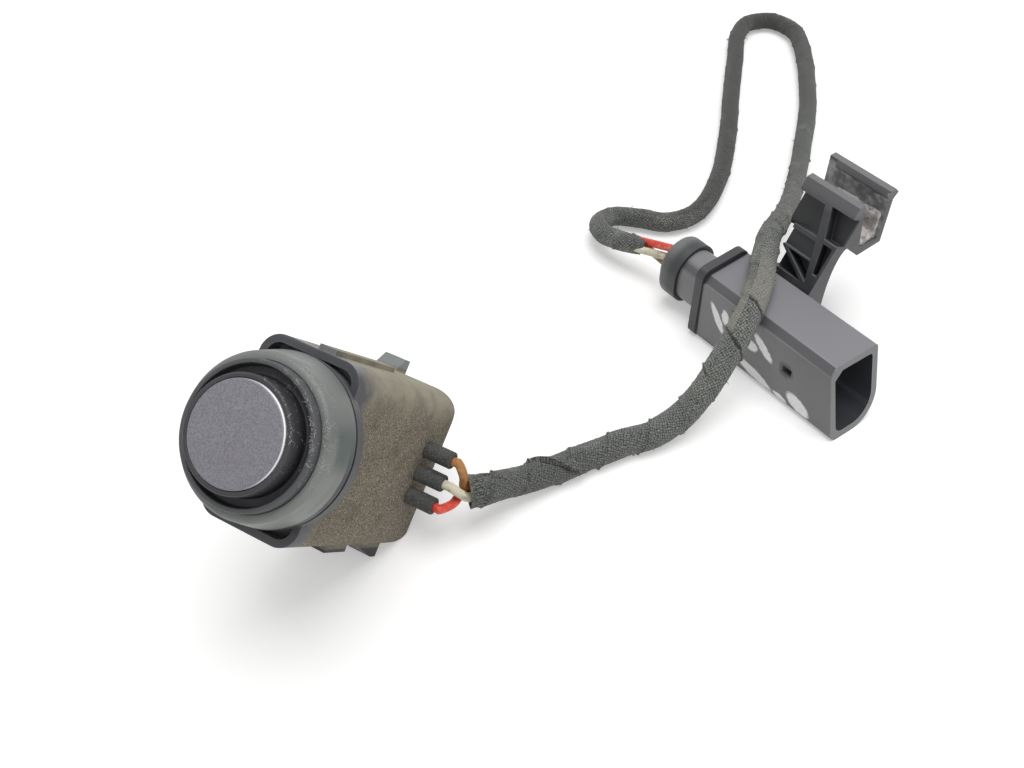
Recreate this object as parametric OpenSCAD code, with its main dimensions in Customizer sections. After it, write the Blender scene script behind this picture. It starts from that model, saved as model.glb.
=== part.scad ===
// Parking sensor with a taped pigtail, a three-way plug and a clip bracket.
// Millimetres, +Z up. The sensor leans back on its rear bottom edge at the origin,
// and the plug lies on the same surface with its mouth towards +X.

/* [Sensor front] */
// Diameter of the painted metal face
face_d = 15.2; // [14:0.1:17]
// Depth of the metal cup behind the face
cup_depth = 8.6; // [7.6:0.1:9.2]
// Side wall of the metal cup
cup_wall = 1; // [0.6:0.1:1.4]
// Thickness of the cup's face
cup_face = 1.1; // [0.8:0.1:1.6]
// Chamfer round the painted face
face_chamfer = 0.3; // [0.2:0.05:0.8]
// Width of the rubber ring that stands round the face
nose_ring_w = 0.75; // [0.7:0.05:1.2]
// Depth from the face to the floor of the rubber groove
groove_depth = 4.4; // [3.6:0.1:5]
// Width of the open groove in the rubber
groove_w = 1.45; // [0.9:0.05:1.6]
// Thickness of the outer rubber lip
lip_w = 0.8; // [0.7:0.05:1]
// Depth from the face to the front of the outer lip
lip_front = 2.7; // [1.8:0.1:3.2]
// Depth from the face to the front of the plastic collar
collar_front = 4.4; // [4.2:0.1:5.2]
// Outer diameter of the plastic collar
collar_d = 25.8; // [25.2:0.1:27]
// Depth from the face to the back of the collar
collar_back = 10.5; // [10:0.1:11]
// Thickness of the collar's floor
collar_floor = 1.25; // [0.9:0.05:1.6]
// Thickness of the piezo disc
piezo_t = 0.5; // [0.3:0.05:0.9]
// Diameter of the piezo disc
piezo_d = 9; // [8:0.1:11]

/* [Sensor housing] */
// Width of the housing across its flat sides
housing_w = 17.3; // [16.8:0.1:20]
// Height of the housing between its latch sides
housing_h = 28.3; // [27.6:0.1:31]
// Overall depth from the face to the back of the housing
sensor_length = 49.2; // [48:0.1:52]
// Wall of the housing
wall = 1.2; // [1:0.1:1.5]
// Corner radius of the housing seen from the front
corner_r = 3.4; // [3:0.1:5]
// Radius of the rounded rear edge below
rear_r = 3.2; // [2.8:0.1:5]
// Radius of the rounded rear edge above
rear_top_r = 5.2; // [3.5:0.1:6]
// Thickness of the web behind the round seat
seat_t = 4.6; // [3.8:0.1:5]
// Gap between the collar and the housing seat
seat_gap = 0.25; // [0.15:0.05:0.4]
// Thickness of the round seat's edge
seat_edge = 1.8; // [1.2:0.1:2.4]
// How far the square rim stands behind the front of the seat
rim_set = 0.8; // [0.4:0.1:1.2]
// Height of the two large latch lugs
lug_h = 2.2; // [1.8:0.1:2.6]
// Length of a large latch lug behind its ramp
lug_land = 1.8; // [1:0.1:2.4]
// Width of the two large latch lugs
lug_w = 4.2; // [3.6:0.1:5]
// Lean of the face back from upright
face_tilt = 50.5; // [44:0.5:56]
// Turn of the sensor about the vertical
sensor_turn = 22.1; // [15:0.1:28]

/* [Electronics] */
// Thickness of the circuit board
board_t = 1.2; // [0.8:0.1:1.6]
// Height of the circuit board
board_h = 23; // [20:0.1:23.5]
// Length of the circuit board
board_len = 26; // [24:0.1:27]
// Sideways place of the board's component face
board_x = -2.4; // [-3:0.1:-1.5]
// Side of the square transformer
transformer_side = 6.4; // [5:0.1:7]
// Height of the transformer off the board
transformer_h = 5.4; // [4:0.1:6.5]

/* [Wires] */
// Diameter of each insulated wire
wire_d = 1.65; // [1.4:0.05:1.8]
// Outer diameter of the rubber wire sleeves
sleeve_d = 3; // [2.7:0.1:3.2]
// Length of a sleeve outside the housing
sleeve_out = 5.2; // [4:0.1:6.5]
// Spacing of the three wires at the sensor
wire_pitch = 4.1; // [4:0.1:4.6]
// Diameter of the taped harness
harness_d = 4.8; // [4.4:0.1:4.9]

/* [Plug] */
// Outer width of the plug body
plug_w = 12.2; // [11.4:0.1:13.4]
// Outer height of the plug body
plug_h = 16; // [15.4:0.1:17]
// Length of the plug body in front of its flange
plug_len = 33.8; // [32:0.1:36]
// Wall round the plug's socket
plug_wall = 1.4; // [1.2:0.1:1.6]
// Depth of the socket
socket_depth = 17; // [14:0.1:18.5]
// Radius of the plug's large rounded lower edge
plug_round = 6.6; // [5:0.1:7.2]
// Chamfer along the plug's upper near edge
plug_chamfer = 1.5; // [1:0.1:2]
// Thickness of the plug's flange
flange_t = 1.8; // [1.2:0.1:2.4]
// How far the flange stands up above the body
flange_out = 1.2; // [0.8:0.1:1.8]
// How far the flange stands out beside the body
flange_near = 0.5; // [0.3:0.1:1.2]
// Length of the neck behind the flange
neck_len = 7.6; // [6.6:0.1:9]
// Diameter of the neck's rounded sides
neck_d = 9.4; // [8.8:0.1:9.6]
// Length of the rear cap
cap_len = 5; // [4.6:0.1:5.8]
// Wall of the rear cap over the neck
cap_wall = 0.8; // [0.7:0.05:1]
// Spacing of the plug's three contacts
contact_pitch = 2.6; // [2.5:0.05:2.7]
// Length of a contact pin inside the socket
pin_len = 9; // [7:0.1:11]
// Width of a contact pin
pin_w = 1.5; // [1.2:0.1:1.7]
// Thickness of a contact pin
pin_t = 0.8; // [0.6:0.1:1]

/* [Clip bracket] */
// Length of the clip along the plug
clip_len = 12.8; // [12:0.1:13.6]
// Width of the open clamp channel
channel_w = 5.4; // [5:0.1:6.4]
// Height of the clamp channel's back wall
channel_h = 12.8; // [11.6:0.1:13.4]
// Wall of the clamp channel
channel_wall = 1.5; // [1.2:0.1:1.8]
// Height of the channel floor above the resting surface
channel_z = 17.8; // [17.4:0.1:19]
// Reach from the plug's side to the channel's front wall
clip_reach = 13.8; // [13:0.1:14.6]
// Depth of the black pockets low in the bracket's ladder
pocket_depth = 3; // [2:0.1:3.4]

/* [Hidden] */

$fn = 96;
// Overlap of cutting bodies past the faces that they cut
cut = 0.5;
// Play between pieces that are pushed together
fit = 0.05;
// Play between the clip and the plug's rail
rail_fit = 0.1;

// Sensor front
cup_r = face_d / 2;
nose_r = cup_r + fit + nose_ring_w;
groove_r = nose_r + groove_w;
lip_r = groove_r + lip_w;
collar_r = collar_d / 2;
ring_edge = 0.3;
nose_front = 0.3;
cup_ledge = 1.6;
floor_front = collar_back - collar_floor;
spigot_r = 6.9;
spigot_wall = 1.3;
spigot_len = 3.8;
collar_step_w = 0.25;
collar_taper = 0.85;
collar_edge = 0.25;
shoulder_len = 0.8;
plug_play = 0.2;

// Sensor housing
seat_y = collar_back + seat_gap;
rim_y = seat_y + rim_set;
inner_y = seat_y + seat_t;
back_y = sensor_length - wall;
face_height = (sensor_length - rear_r) * sin(face_tilt)
    + (housing_h / 2 - rear_r) * cos(face_tilt) + rear_r;
sensor_x = 6.212;
sensor_y = -16.677;
fairing_len = 6.4;
// Place across and along the housing, then the length of the ramp
top_lug = [-4.3, 43.2, 2.4];
bottom_lug = [4.5, 36.5, 6.6];
// Place across and along the housing, then width, length and height
top_rib = [[0.8, 13.4], [3, 20, 0.8]];
bottom_rib = [[4.5, 26], [4, 7, 1]];
rail_w = 1.3;
rail_depth = 2;

// Electronics
lead_r = 0.35;
lead_z = 3;
lead_bond = 3;
board_gap = 1.4;
wire_back = 4.6;
transformer_place = [5, 4.6];
chip_place = [14, -3];
block_places = [6, 9, 12];
block_drop = 10;
can_place = [17, 6];
tab_len = 3;
board_y = inner_y + board_gap;
terminal_len = 2.4;
terminal_side = 2.2;
wire_y = back_y - wire_back;

// Wires
wire_r = wire_d / 2;
sleeve_r = sleeve_d / 2;
sleeve_flange = 0.35;
sleeve_flange_t = 1.1;
wire_lead = 1;
wire_bow = [0.4, -0.3, 0];
wire_sides = 8;
harness_sides = 10;

// Plug
mouth_x = 35.55;
plug_y = 87.12;
flange_back = -plug_len - flange_t;
flange_corners = [2, plug_round, 2.4, 2];
neck_back = flange_back - neck_len;
neck_z = plug_h / 2;
neck_trim = 3;
neck_gap = 2 * contact_pitch - neck_trim;
cap_lap = 1.6;
cap_edge = 1.4;
cap_back = neck_back + cap_lap - cap_len;
seal_len = 4.4;
seal_wall = 1.1;
seal_r = neck_d / 2 - seal_wall;
barrel_r = 0.95;
barrel_len = 7;
barrel_back = -socket_depth - plug_wall - barrel_len;
mouth_slant = 14.5;
mouth_turn = 2.8;
mouth_lead = plug_h * tan(mouth_slant);
lock_t = 2;
latch_window = [2.1, 1.3];
latch_place = [-12.2, 8];
plug_small_r = 0.8;
rail = [14.6, 6, 4.4, 1.8];
rail_end = 2.4;
rail_z = 7;

// Clip
clip_side = plug_w / 2;
clip_gap = 2.2;
clip_x = -plug_len + clip_gap;
arm_inset = 2.6;
far_lead = 2;
base_t = 6;
base_low = 2.6;
bar_lean = 3.6;
bar_rise = 0.4;
lip_out = 1.2;
lip_drop = 2.4;
foot_z = 13.6;
gusset_drop = 2;
gusset_reach = 3.6;
gusset_top = 21.8;
// Pockets of the ladder: depth, then corners as parts of the arm's length and height
ladder = [
    [2.6, [[-0.1, 0.57], [0.63, 0.57], [0.485, 0.86], [-0.1, 0.86]]],
    [0.8, [[-0.1, 0.355], [0.725, 0.355], [0.655, 0.52], [-0.1, 0.52]]],
    [pocket_depth, [[-0.1, 0.13], [0.75, 0.13], [0.2, 0.335], [-0.1, 0.335]]],
    [pocket_depth, [[0.82, 0.155], [0.735, 0.335], [0.305, 0.335]]],
    [2.6, [[0.76, 0.59], [1.1, 0.59], [1.1, 0.88], [0.6, 0.88]]],
    [2.4, [[0.875, 0.255], [0.95, 0.255], [0.95, 0.545], [0.775, 0.545]]]
];
// Outline of the glue in the channel, from the front of its floor
glue_ends = [1.5, 0.6];
glue_film = 0.8;
glue_rise = 6;

// Route of the taped harness, from the sensor over the plug, round the loop and back
harness_route = [
    [10.45, 17.72, 9], [10.95, 21.32, 7.4], [11.05, 26.72, 5], [12.05, 33.72, 3.1], [13.45, 42.32, 2.6],
    [15.05, 49.12, 2.6], [17.25, 55.62, 3], [18.05, 61.62, 5.2], [17.85, 67.12, 8.8], [16.95, 72.02, 12.6],
    [15.65, 76.72, 16], [13.65, 81.52, 18.3], [10.45, 86.72, 18.8], [6.05, 92.52, 18.8],
    [1.75, 98.92, 17.4], [-1.65, 105.12, 14.4], [-5.75, 112.92, 10.8], [-11.55, 122.62, 6.6],
    [-18.35, 132.92, 3.7], [-26.35, 144.12, 2.7],
    [-36.15, 157.12, 2.5], [-46.35, 168.32, 2.5], [-55.75, 177.32, 2.5], [-63.75, 182.72, 2.5],
    [-71.15, 182.12, 2.5], [-74.35, 176.12, 2.5], [-71.75, 169.32, 2.5], [-64.55, 160.92, 2.5],
    [-53.75, 148.32, 2.5], [-42.15, 135.32, 2.5], [-32.15, 122.72, 2.5], [-26.15, 112.32, 2.5],
    [-24.35, 105.12, 2.5], [-26.35, 99.12, 2.5], [-30.75, 95.52, 2.6], [-34.35, 91.32, 3],
    [-33.95, 86.32, 3.8], [-29.55, 83.72, 5], [-24.35, 84.12, 6.2], [-19.15, 85.72, 7.2]
];
harness_last = len(harness_route) - 1;

// Spread of the three wires at an end of the tape, in wire diameters
bundle = [0.6, 0.34, 0.7];

// A point given in the sensor's own frame, placed in the part's frame
function leaned(p) = [
    p.x,
    p.y * cos(face_tilt) + p.z * sin(face_tilt),
    p.z * cos(face_tilt) - p.y * sin(face_tilt)
];
function turned_about_z(p) = [
    p.x * cos(sensor_turn) - p.y * sin(sensor_turn),
    p.x * sin(sensor_turn) + p.y * cos(sensor_turn),
    p.z
];
function on_sensor(p) = turned_about_z(leaned(p)) + [sensor_x, sensor_y, face_height];

// A point given in the plug's own frame, placed in the part's frame
function on_plug(p) = p + [mouth_x, plug_y, 0];

function unit(v) = v / norm(v);
function heading(path, i) =
    unit(path[min(i + 1, len(path) - 1)] - path[max(i - 1, 0)]);
function beside(t) = unit(cross([0, 0, 1], t));
function above(t) = cross(t, beside(t));

// Place of wire k in the bundle: one wire on one side, a pair on the other
function bundled(k, t) = k * bundle[0] * above(t)
    + (k == 0 ? -bundle[2] : bundle[1]) * beside(t);

// A round tube swept along the points of a path
module swept(path, r, sides) {
    count = len(path);
    points = [
        for (i = [0 : count - 1])
            let (t = heading(path, i), b = beside(t), a = above(t))
                for (k = [0 : sides - 1])
                    path[i] + r * (cos(360 * k / sides) * b + sin(360 * k / sides) * a)
    ];
    walls = [
        for (i = [0 : count - 2])
            for (k = [0 : sides - 1])
                let (j = (k + 1) % sides)
                    each [
                        [i * sides + k, (i + 1) * sides + k, (i + 1) * sides + j],
                        [i * sides + k, (i + 1) * sides + j, i * sides + j]
                    ]
    ];
    first_end = [for (k = [0 : sides - 1]) k];
    last_end = [for (k = [sides - 1 : -1 : 0]) (count - 1) * sides + k];
    polyhedron(points = points, faces = concat(walls, [first_end, last_end]), convexity = 8);
}

module place_sensor() {
    translate([sensor_x, sensor_y, face_height])
        rotate([0, 0, sensor_turn])
            rotate([-face_tilt, 0, 0])
                children();
}

module place_plug() {
    translate([mouth_x, plug_y, 0])
        children();
}

// A profile of radius and depth turned about the sensor's axis
module turned(profile) {
    rotate([-90, 0, 0])
        rotate_extrude()
            polygon(profile);
}

// A round bar along the sensor's axis
module axial(r, from, to) {
    translate([0, from, 0])
        rotate([-90, 0, 0])
            cylinder(r = r, h = to - from);
}

// A round bar along x
module crosswise(r, from, to) {
    translate([from, 0, 0])
        rotate([0, 90, 0])
            cylinder(r = r, h = to - from);
}

module round_rect(w, h, r) {
    square([w - 2 * r, h], center = true);
    square([w, h - 2 * r], center = true);
    for (x = [-1, 1], y = [-1, 1])
        translate([x * (w / 2 - r), y * (h / 2 - r)])
            circle(r = r);
}

// A 2-D outline in x and z, stood up and drawn back along y
module along_y(from, to) {
    translate([0, to, 0])
        rotate([90, 0, 0])
            linear_extrude(to - from)
                children();
}

// A 2-D outline in y and z, drawn along x
module along_x(from, to) {
    translate([from, 0, 0])
        rotate([90, 0, 90])
            linear_extrude(to - from)
                children();
}

module membrane_cup() {
    inner_r = cup_r - cup_wall;
    color("slategray")
        place_sensor()
            turned([
                [0, 0],
                [cup_r - face_chamfer, 0],
                [cup_r, face_chamfer],
                [cup_r, cup_depth],
                [inner_r, cup_depth],
                [inner_r, cup_face],
                [0, cup_face]
            ]);
}

module piezo_disc() {
    color("gold")
        place_sensor()
            axial(piezo_d / 2, cup_face, cup_face + piezo_t);
}

module damping_plug() {
    color("darkseagreen")
        place_sensor()
            difference() {
                axial(cup_r - cup_wall - plug_play, cup_face + piezo_t, cup_depth);
                for (z = [-lead_z, lead_z])
                    translate([board_x + lead_r, 0, z])
                        axial(lead_r + plug_play, cup_face, cup_depth + cut);
            }
}

module piezo_leads() {
    color("firebrick")
        place_sensor()
            for (z = [-lead_z, lead_z])
                translate([board_x + lead_r, 0, z])
                    axial(lead_r, cup_face + piezo_t, board_y + lead_bond);
}

module decoupling_ring() {
    inner_r = cup_r + fit;
    ledge_y = cup_depth + fit;
    back = floor_front - fit;
    color("dimgray")
        place_sensor()
            turned([
                [inner_r, nose_front + ring_edge],
                [inner_r + ring_edge, nose_front],
                [nose_r - ring_edge, nose_front],
                [nose_r, nose_front + ring_edge],
                [nose_r, groove_depth],
                [groove_r, groove_depth],
                [groove_r, lip_front + ring_edge],
                [groove_r + ring_edge, lip_front],
                [lip_r - ring_edge, lip_front],
                [lip_r, lip_front + ring_edge],
                [lip_r, back],
                [inner_r - cup_ledge, back],
                [inner_r - cup_ledge, ledge_y],
                [inner_r, ledge_y]
            ]);
}

module front_collar() {
    bore_r = lip_r + fit;
    step_r = bore_r + collar_step_w;
    rise = collar_r - collar_taper - step_r;
    shoulder = [
        for (a = [0 : 15 : 90])
            [step_r + rise * sin(a), collar_front + shoulder_len * (1 - cos(a))]
    ];
    color("darkslategray")
        place_sensor()
            turned(concat(
                [
                    [bore_r, floor_front],
                    [bore_r, collar_front]
                ],
                shoulder,
                [
                    [collar_r, collar_back - collar_edge],
                    [collar_r - collar_edge, collar_back],
                    [spigot_r, collar_back],
                    [spigot_r, collar_back + spigot_len],
                    [spigot_r - spigot_wall, collar_back + spigot_len],
                    [spigot_r - spigot_wall, floor_front]
                ]
            ));
}

// The housing's outline from the side: square in front, rounded behind
module side_profile(front, back, half, low_r, top_r) {
    translate([front, -half])
        square([back - low_r - front, half]);
    translate([front, 0])
        square([back - top_r - front, half]);
    translate([front, -half + low_r])
        square([back - front, 2 * half - low_r - top_r]);
    translate([back - low_r, -half + low_r])
        circle(r = low_r);
    translate([back - top_r, half - top_r])
        circle(r = top_r);
}

module housing_box(front, back, inset) {
    intersection() {
        along_y(front, back)
            round_rect(housing_w - 2 * inset, housing_h - 2 * inset, corner_r - inset);
        along_x(-housing_w, housing_w)
            side_profile(front, back, housing_h / 2 - inset, rear_r - inset, rear_top_r - inset);
    }
}

// A latch lug with a ramp towards the face, standing on the housing's upper side
module latch_lug(lug) {
    end = lug[2] + lug_land;
    translate([lug.x, lug.y, housing_h / 2])
        along_x(-lug_w / 2, lug_w / 2)
            polygon([[0, -wall], [0, 0], [lug[2], lug_h], [end, lug_h], [end, -wall]]);
}

module low_rib(rib) {
    size = rib[1];
    translate([rib[0].x - size.x / 2, rib[0].y, housing_h / 2 - wall])
        cube([size.x, size.y, wall + size.z]);
}

module sensor_housing() {
    color("black")
        place_sensor()
            difference() {
                union() {
                    housing_box(rim_y, sensor_length, 0);
                    turned([
                        [0, seat_y],
                        [collar_r, seat_y],
                        [collar_r, seat_y + seat_edge],
                        [housing_w / 2, seat_y + seat_edge + fairing_len],
                        [0, seat_y + seat_edge + fairing_len]
                    ]);
                    latch_lug(top_lug);
                    low_rib(top_rib);
                    mirror([0, 0, 1]) {
                        latch_lug(bottom_lug);
                        low_rib(bottom_rib);
                    }
                }
                difference() {
                    housing_box(inner_y, back_y, wall);
                    for (z = [housing_h / 2 - wall - rail_depth, -housing_h / 2])
                        for (x = [board_x, board_x - board_t - rail_w - 2 * fit])
                            translate([x + fit, board_y, z])
                                cube([rail_w, board_len, wall + rail_depth]);
                }
                difference() {
                    along_y(rim_y - cut, inner_y - wall)
                        round_rect(housing_w - 2 * wall, housing_h - 2 * wall, corner_r - wall);
                    axial(collar_r, rim_y - 2 * cut, inner_y);
                }
                axial(spigot_r + fit, seat_y - cut, inner_y + cut);
                for (k = [-1 : 1])
                    translate([0, wire_y, k * wire_pitch])
                        crosswise(sleeve_r + fit, housing_w / 2 - 2 * wall, housing_w / 2 + cut);
            }
}

module circuit_board() {
    color("seagreen")
        place_sensor()
            translate([board_x - board_t, board_y, -board_h / 2])
                cube([board_t, board_len, board_h]);
}

module transformer() {
    plate = 1;
    drum_inset = 0.6;
    drum_r = transformer_side / 2 - drum_inset;
    color("saddlebrown")
        place_sensor()
            translate([board_x, board_y + transformer_place.x, transformer_place.y]) {
                for (x = [0, transformer_h - plate])
                    translate([x, 0, -transformer_side / 2])
                        cube([plate, transformer_side, transformer_side]);
                translate([0, transformer_side / 2, 0])
                    crosswise(drum_r, plate / 2, transformer_h - plate / 2);
            }
}

module signal_chip() {
    body = [1.6, 5, 6];
    pin = [0.3, 0.45, 1];
    pin_count = 4;
    color("darkgray")
        place_sensor()
            translate([board_x, board_y + chip_place.x, chip_place.y]) {
                translate([pin[0] / 2, 0, -body[2] / 2])
                    cube(body);
                for (i = [0 : pin_count - 1], z = [-1, 1])
                    translate([0, (i + 0.5) * body[1] / pin_count - pin[1] / 2, 0])
                        translate([0, 0, z * (body[2] + pin[2]) / 2 - pin[2] / 2])
                            cube(pin);
            }
}

module capacitors() {
    block = [1.2, 1.6, 3];
    can_r = 2;
    can_h = 4.6;
    color("tan")
        place_sensor()
            translate([board_x, board_y, 0]) {
                for (y = block_places)
                    translate([0, y, -block_drop])
                        cube(block);
                translate([0, can_place.x, can_place.y])
                    crosswise(can_r, 0, can_h);
            }
}

module wire_terminals() {
    tip = board_x + terminal_len;
    color("darkgoldenrod")
        place_sensor()
            for (k = [-1 : 1])
                translate([0, 0, k * wire_pitch]) {
                    difference() {
                        translate([board_x, wire_y - terminal_side / 2, -terminal_side / 2])
                            cube([terminal_len, terminal_side, terminal_side]);
                        translate([0, wire_y, 0])
                            crosswise(wire_r + fit, tip - terminal_len / 2, tip + cut);
                    }
                    translate([board_x, board_y + board_len - tab_len, -terminal_side / 2])
                        cube([terminal_side / 3, wire_y - board_y - board_len + tab_len, terminal_side]);
                }
}

module wire_sleeves() {
    inside = housing_w / 2 - wall;
    color("dimgray")
        place_sensor()
            for (k = [-1 : 1])
                translate([0, wire_y, k * wire_pitch])
                    rotate([0, 90, 0])
                        rotate_extrude()
                            polygon([
                                [wire_r + fit, inside - sleeve_flange_t],
                                [sleeve_r + sleeve_flange, inside - sleeve_flange_t],
                                [sleeve_r + sleeve_flange, inside],
                                [sleeve_r, inside],
                                [sleeve_r, housing_w / 2 + sleeve_out - ring_edge],
                                [sleeve_r - ring_edge, housing_w / 2 + sleeve_out],
                                [wire_r + fit, housing_w / 2 + sleeve_out]
                            ]);
}

// One insulated wire from its terminal, through its sleeve, to the start of the tape
module sensor_wire(k) {
    start = harness_route[0];
    dir = heading(harness_route, 0);
    z = k * wire_pitch;
    mouth = housing_w / 2 + sleeve_out;
    end = start + wire_d * bundled(k, dir);
    leave = on_sensor([mouth + wire_lead, wire_y, z]);
    swept([
        on_sensor([board_x + terminal_len / 2, wire_y, z]),
        on_sensor([mouth / 2, wire_y, z]),
        on_sensor([mouth, wire_y, z]),
        leave,
        leave + (end - leave) / 2 + wire_bow,
        end - dir * wire_lead,
        end
    ], wire_r, wire_sides);
}

module brown_wire() {
    color("peru")
        sensor_wire(1);
}

module white_wire() {
    color("ivory")
        sensor_wire(0);
}

module red_wire() {
    color("red")
        sensor_wire(-1);
}

module taped_harness() {
    color("darkslategray")
        swept(harness_route, harness_d / 2, harness_sides);
}

// One insulated wire from the tape's end, through the rear cap, to its contact
module plug_wire(k) {
    stop = harness_route[harness_last];
    dir = heading(harness_route, harness_last);
    end = stop + wire_d * bundled(k, dir);
    z = neck_z + k * contact_pitch;
    enter = on_plug([cap_back, 0, z]);
    swept([
        end,
        end + dir * wire_lead,
        enter - [wire_lead, 0, 0],
        enter,
        on_plug([neck_back, 0, z]),
        on_plug([barrel_back, 0, z])
    ], wire_r, wire_sides);
}

module plug_brown_wire() {
    color("peru")
        plug_wire(-1);
}

module plug_white_wire() {
    color("ivory")
        plug_wire(0);
}

module plug_red_wire() {
    color("red")
        plug_wire(1);
}

// A square with each corner rounded by its own radius: near low, far low, far top, near top
module soft_square(w, h, radii) {
    corners = [[0, 0], [w, 0], [w, h], [0, h]];
    difference() {
        square([w, h]);
        for (i = [0 : 3])
            translate(corners[i])
                rotate(90 * i)
                    difference() {
                        translate([-cut, -cut])
                            square(radii[i] + cut);
                        translate([radii[i], radii[i]])
                            circle(r = radii[i]);
                    }
    }
}

module plug_section(inset) {
    translate([-plug_w / 2 + inset, inset])
        difference() {
            soft_square(
                plug_w - 2 * inset,
                plug_h - 2 * inset,
                [plug_small_r * 2, plug_round - inset, plug_small_r, plug_small_r]
            );
            translate([0, plug_h - 2 * inset])
                rotate(45)
                    square(plug_chamfer * sqrt(2), center = true);
        }
}

// A turned shape pulled apart into a long round, along x and standing in z
module long_round(profile, gap) {
    for (z = [-gap / 2, gap / 2])
        translate([0, 0, z])
            rotate([0, 90, 0])
                rotate_extrude()
                    polygon(profile);
    translate([0, 0, -gap / 2])
        linear_extrude(gap)
            for (side = [0, 1])
                mirror([0, side])
                    polygon([for (p = profile) [p[1], p[0]]]);
}

module contact_places() {
    for (k = [-1 : 1])
        translate([0, 0, neck_z + k * contact_pitch])
            children();
}

module plug_housing() {
    color("black")
        place_plug()
            difference() {
                union() {
                    along_x(-plug_len, mouth_lead)
                        plug_section(0);
                    along_x(flange_back, -plug_len)
                        translate([-plug_w / 2 - flange_near, 0])
                            soft_square(plug_w + flange_near, plug_h + flange_out, flange_corners);
                    translate([0, 0, neck_z])
                        long_round([
                            [0, neck_back],
                            [neck_d / 2, neck_back],
                            [neck_d / 2, flange_back],
                            [0, flange_back]
                        ], neck_gap);
                    translate([-plug_len + rail_end, plug_w / 2, rail_z])
                        along_rail(0);
                }
                along_x(-socket_depth, mouth_lead + cut)
                    plug_section(plug_wall);
                translate([0, 0, neck_z])
                    long_round([
                        [0, neck_back - cut],
                        [seal_r, neck_back - cut],
                        [seal_r, neck_back + seal_len],
                        [0, neck_back + seal_len]
                    ], neck_gap);
                contact_places()
                    crosswise(barrel_r + fit, neck_back + seal_len - cut, -socket_depth - plug_wall);
                contact_places()
                    translate([-socket_depth - 2 * plug_wall, -pin_t / 2 - fit, -pin_w / 2 - fit])
                        cube([3 * plug_wall, pin_t + 2 * fit, pin_w + 2 * fit]);
                translate([latch_place[0], -plug_w / 2 - cut, latch_place[1]])
                    cube([latch_window[0], plug_wall + 2 * cut, latch_window[1]]);
                translate([0, 0, plug_h / 2])
                    rotate([0, -mouth_slant, -mouth_turn])
                        translate([0, -plug_w, -plug_h])
                            cube([plug_h, 2 * plug_w, 2 * plug_h]);
            }
}

// The dovetail rail on the plug's far side, or the slot that slides over it
module along_rail(play) {
    rotate([90, 0, 90])
        linear_extrude(rail[0] + 2 * play)
            polygon([
                [-cut, -rail[2] / 2 - play],
                [0, -rail[2] / 2 - play],
                [rail[3] + play, -rail[1] / 2 - play],
                [rail[3] + play, rail[1] / 2 + play],
                [0, rail[2] / 2 + play],
                [-cut, rail[2] / 2 + play]
            ]);
}

module contact_pins() {
    color("gold")
        place_plug()
            contact_places() {
                crosswise(barrel_r, barrel_back, -socket_depth - plug_wall);
                translate([-socket_depth - 2 * plug_wall, -pin_t / 2, -pin_w / 2])
                    cube([2 * plug_wall + pin_len, pin_t, pin_w]);
            }
}

module terminal_lock() {
    color("indigo")
        place_plug()
            difference() {
                along_x(-socket_depth + fit, -socket_depth + lock_t)
                    plug_section(plug_wall + fit);
                contact_places()
                    translate([-socket_depth - cut, -pin_t / 2 - fit, -pin_w / 2 - fit])
                        cube([lock_t + 2 * cut, pin_t + 2 * fit, pin_w + 2 * fit]);
            }
}

module wire_seal() {
    color("orangered")
        place_plug()
            difference() {
                translate([0, 0, neck_z])
                    long_round([
                        [0, neck_back + fit],
                        [seal_r - fit, neck_back + fit],
                        [seal_r - fit, neck_back + seal_len - fit],
                        [0, neck_back + seal_len - fit]
                    ], neck_gap);
                contact_places()
                    crosswise(wire_r + fit, neck_back - cut, neck_back + seal_len + cut);
            }
}

module rear_cap() {
    outer_r = neck_d / 2 + fit + cap_wall;
    lip_x = neck_back + cap_lap;
    color("black")
        place_plug()
            difference() {
                translate([0, 0, neck_z])
                    long_round(concat(
                        [[0, lip_x], [outer_r, lip_x]],
                        [
                            for (a = [0 : 15 : 90])
                                [outer_r - cap_edge * (1 - cos(a)), cap_back + cap_edge * (1 - sin(a))]
                        ],
                        [[0, cap_back]]
                    ), neck_gap);
                translate([0, 0, neck_z])
                    long_round([
                        [0, neck_back - fit],
                        [neck_d / 2 + fit, neck_back - fit],
                        [neck_d / 2 + fit, lip_x + cut],
                        [0, lip_x + cut]
                    ], neck_gap);
                contact_places()
                    crosswise(wire_r + fit, cap_back - cut, neck_back + cut);
            }
}

// Section of the bracket in y and z: foot, leaning face, clamp channel and gusset
module clip_section() {
    side = clip_side + rail_fit;
    front = clip_side + clip_reach;
    back = front + channel_w;
    top = channel_z + channel_h;
    gusset = [
        for (a = [0 : 15 : 90])
            [side + base_t + gusset_reach * (1 - cos(a)),
             foot_z - gusset_drop + (gusset_top - foot_z + gusset_drop) * sin(a)]
    ];
    polygon(concat(
        [
            [side, base_low],
            [side, foot_z],
            [front - bar_lean, top + bar_rise],
            [front - bar_lean + channel_wall, top + bar_rise],
            [front, channel_z + channel_wall],
            [back, channel_z + channel_wall],
            [back, top - lip_drop],
            [back - lip_out / 2, top - lip_drop / 2],
            [back, top],
            [back + channel_wall, top],
            [back + channel_wall + lip_out, top - lip_drop / 2],
            [back + channel_wall, top - lip_drop],
            [back + channel_wall, channel_z],
            [front, channel_z]
        ],
        [for (i = [len(gusset) - 1 : -1 : 0]) gusset[i]],
        [[side + base_t, base_low]]
    ));
}

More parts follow.
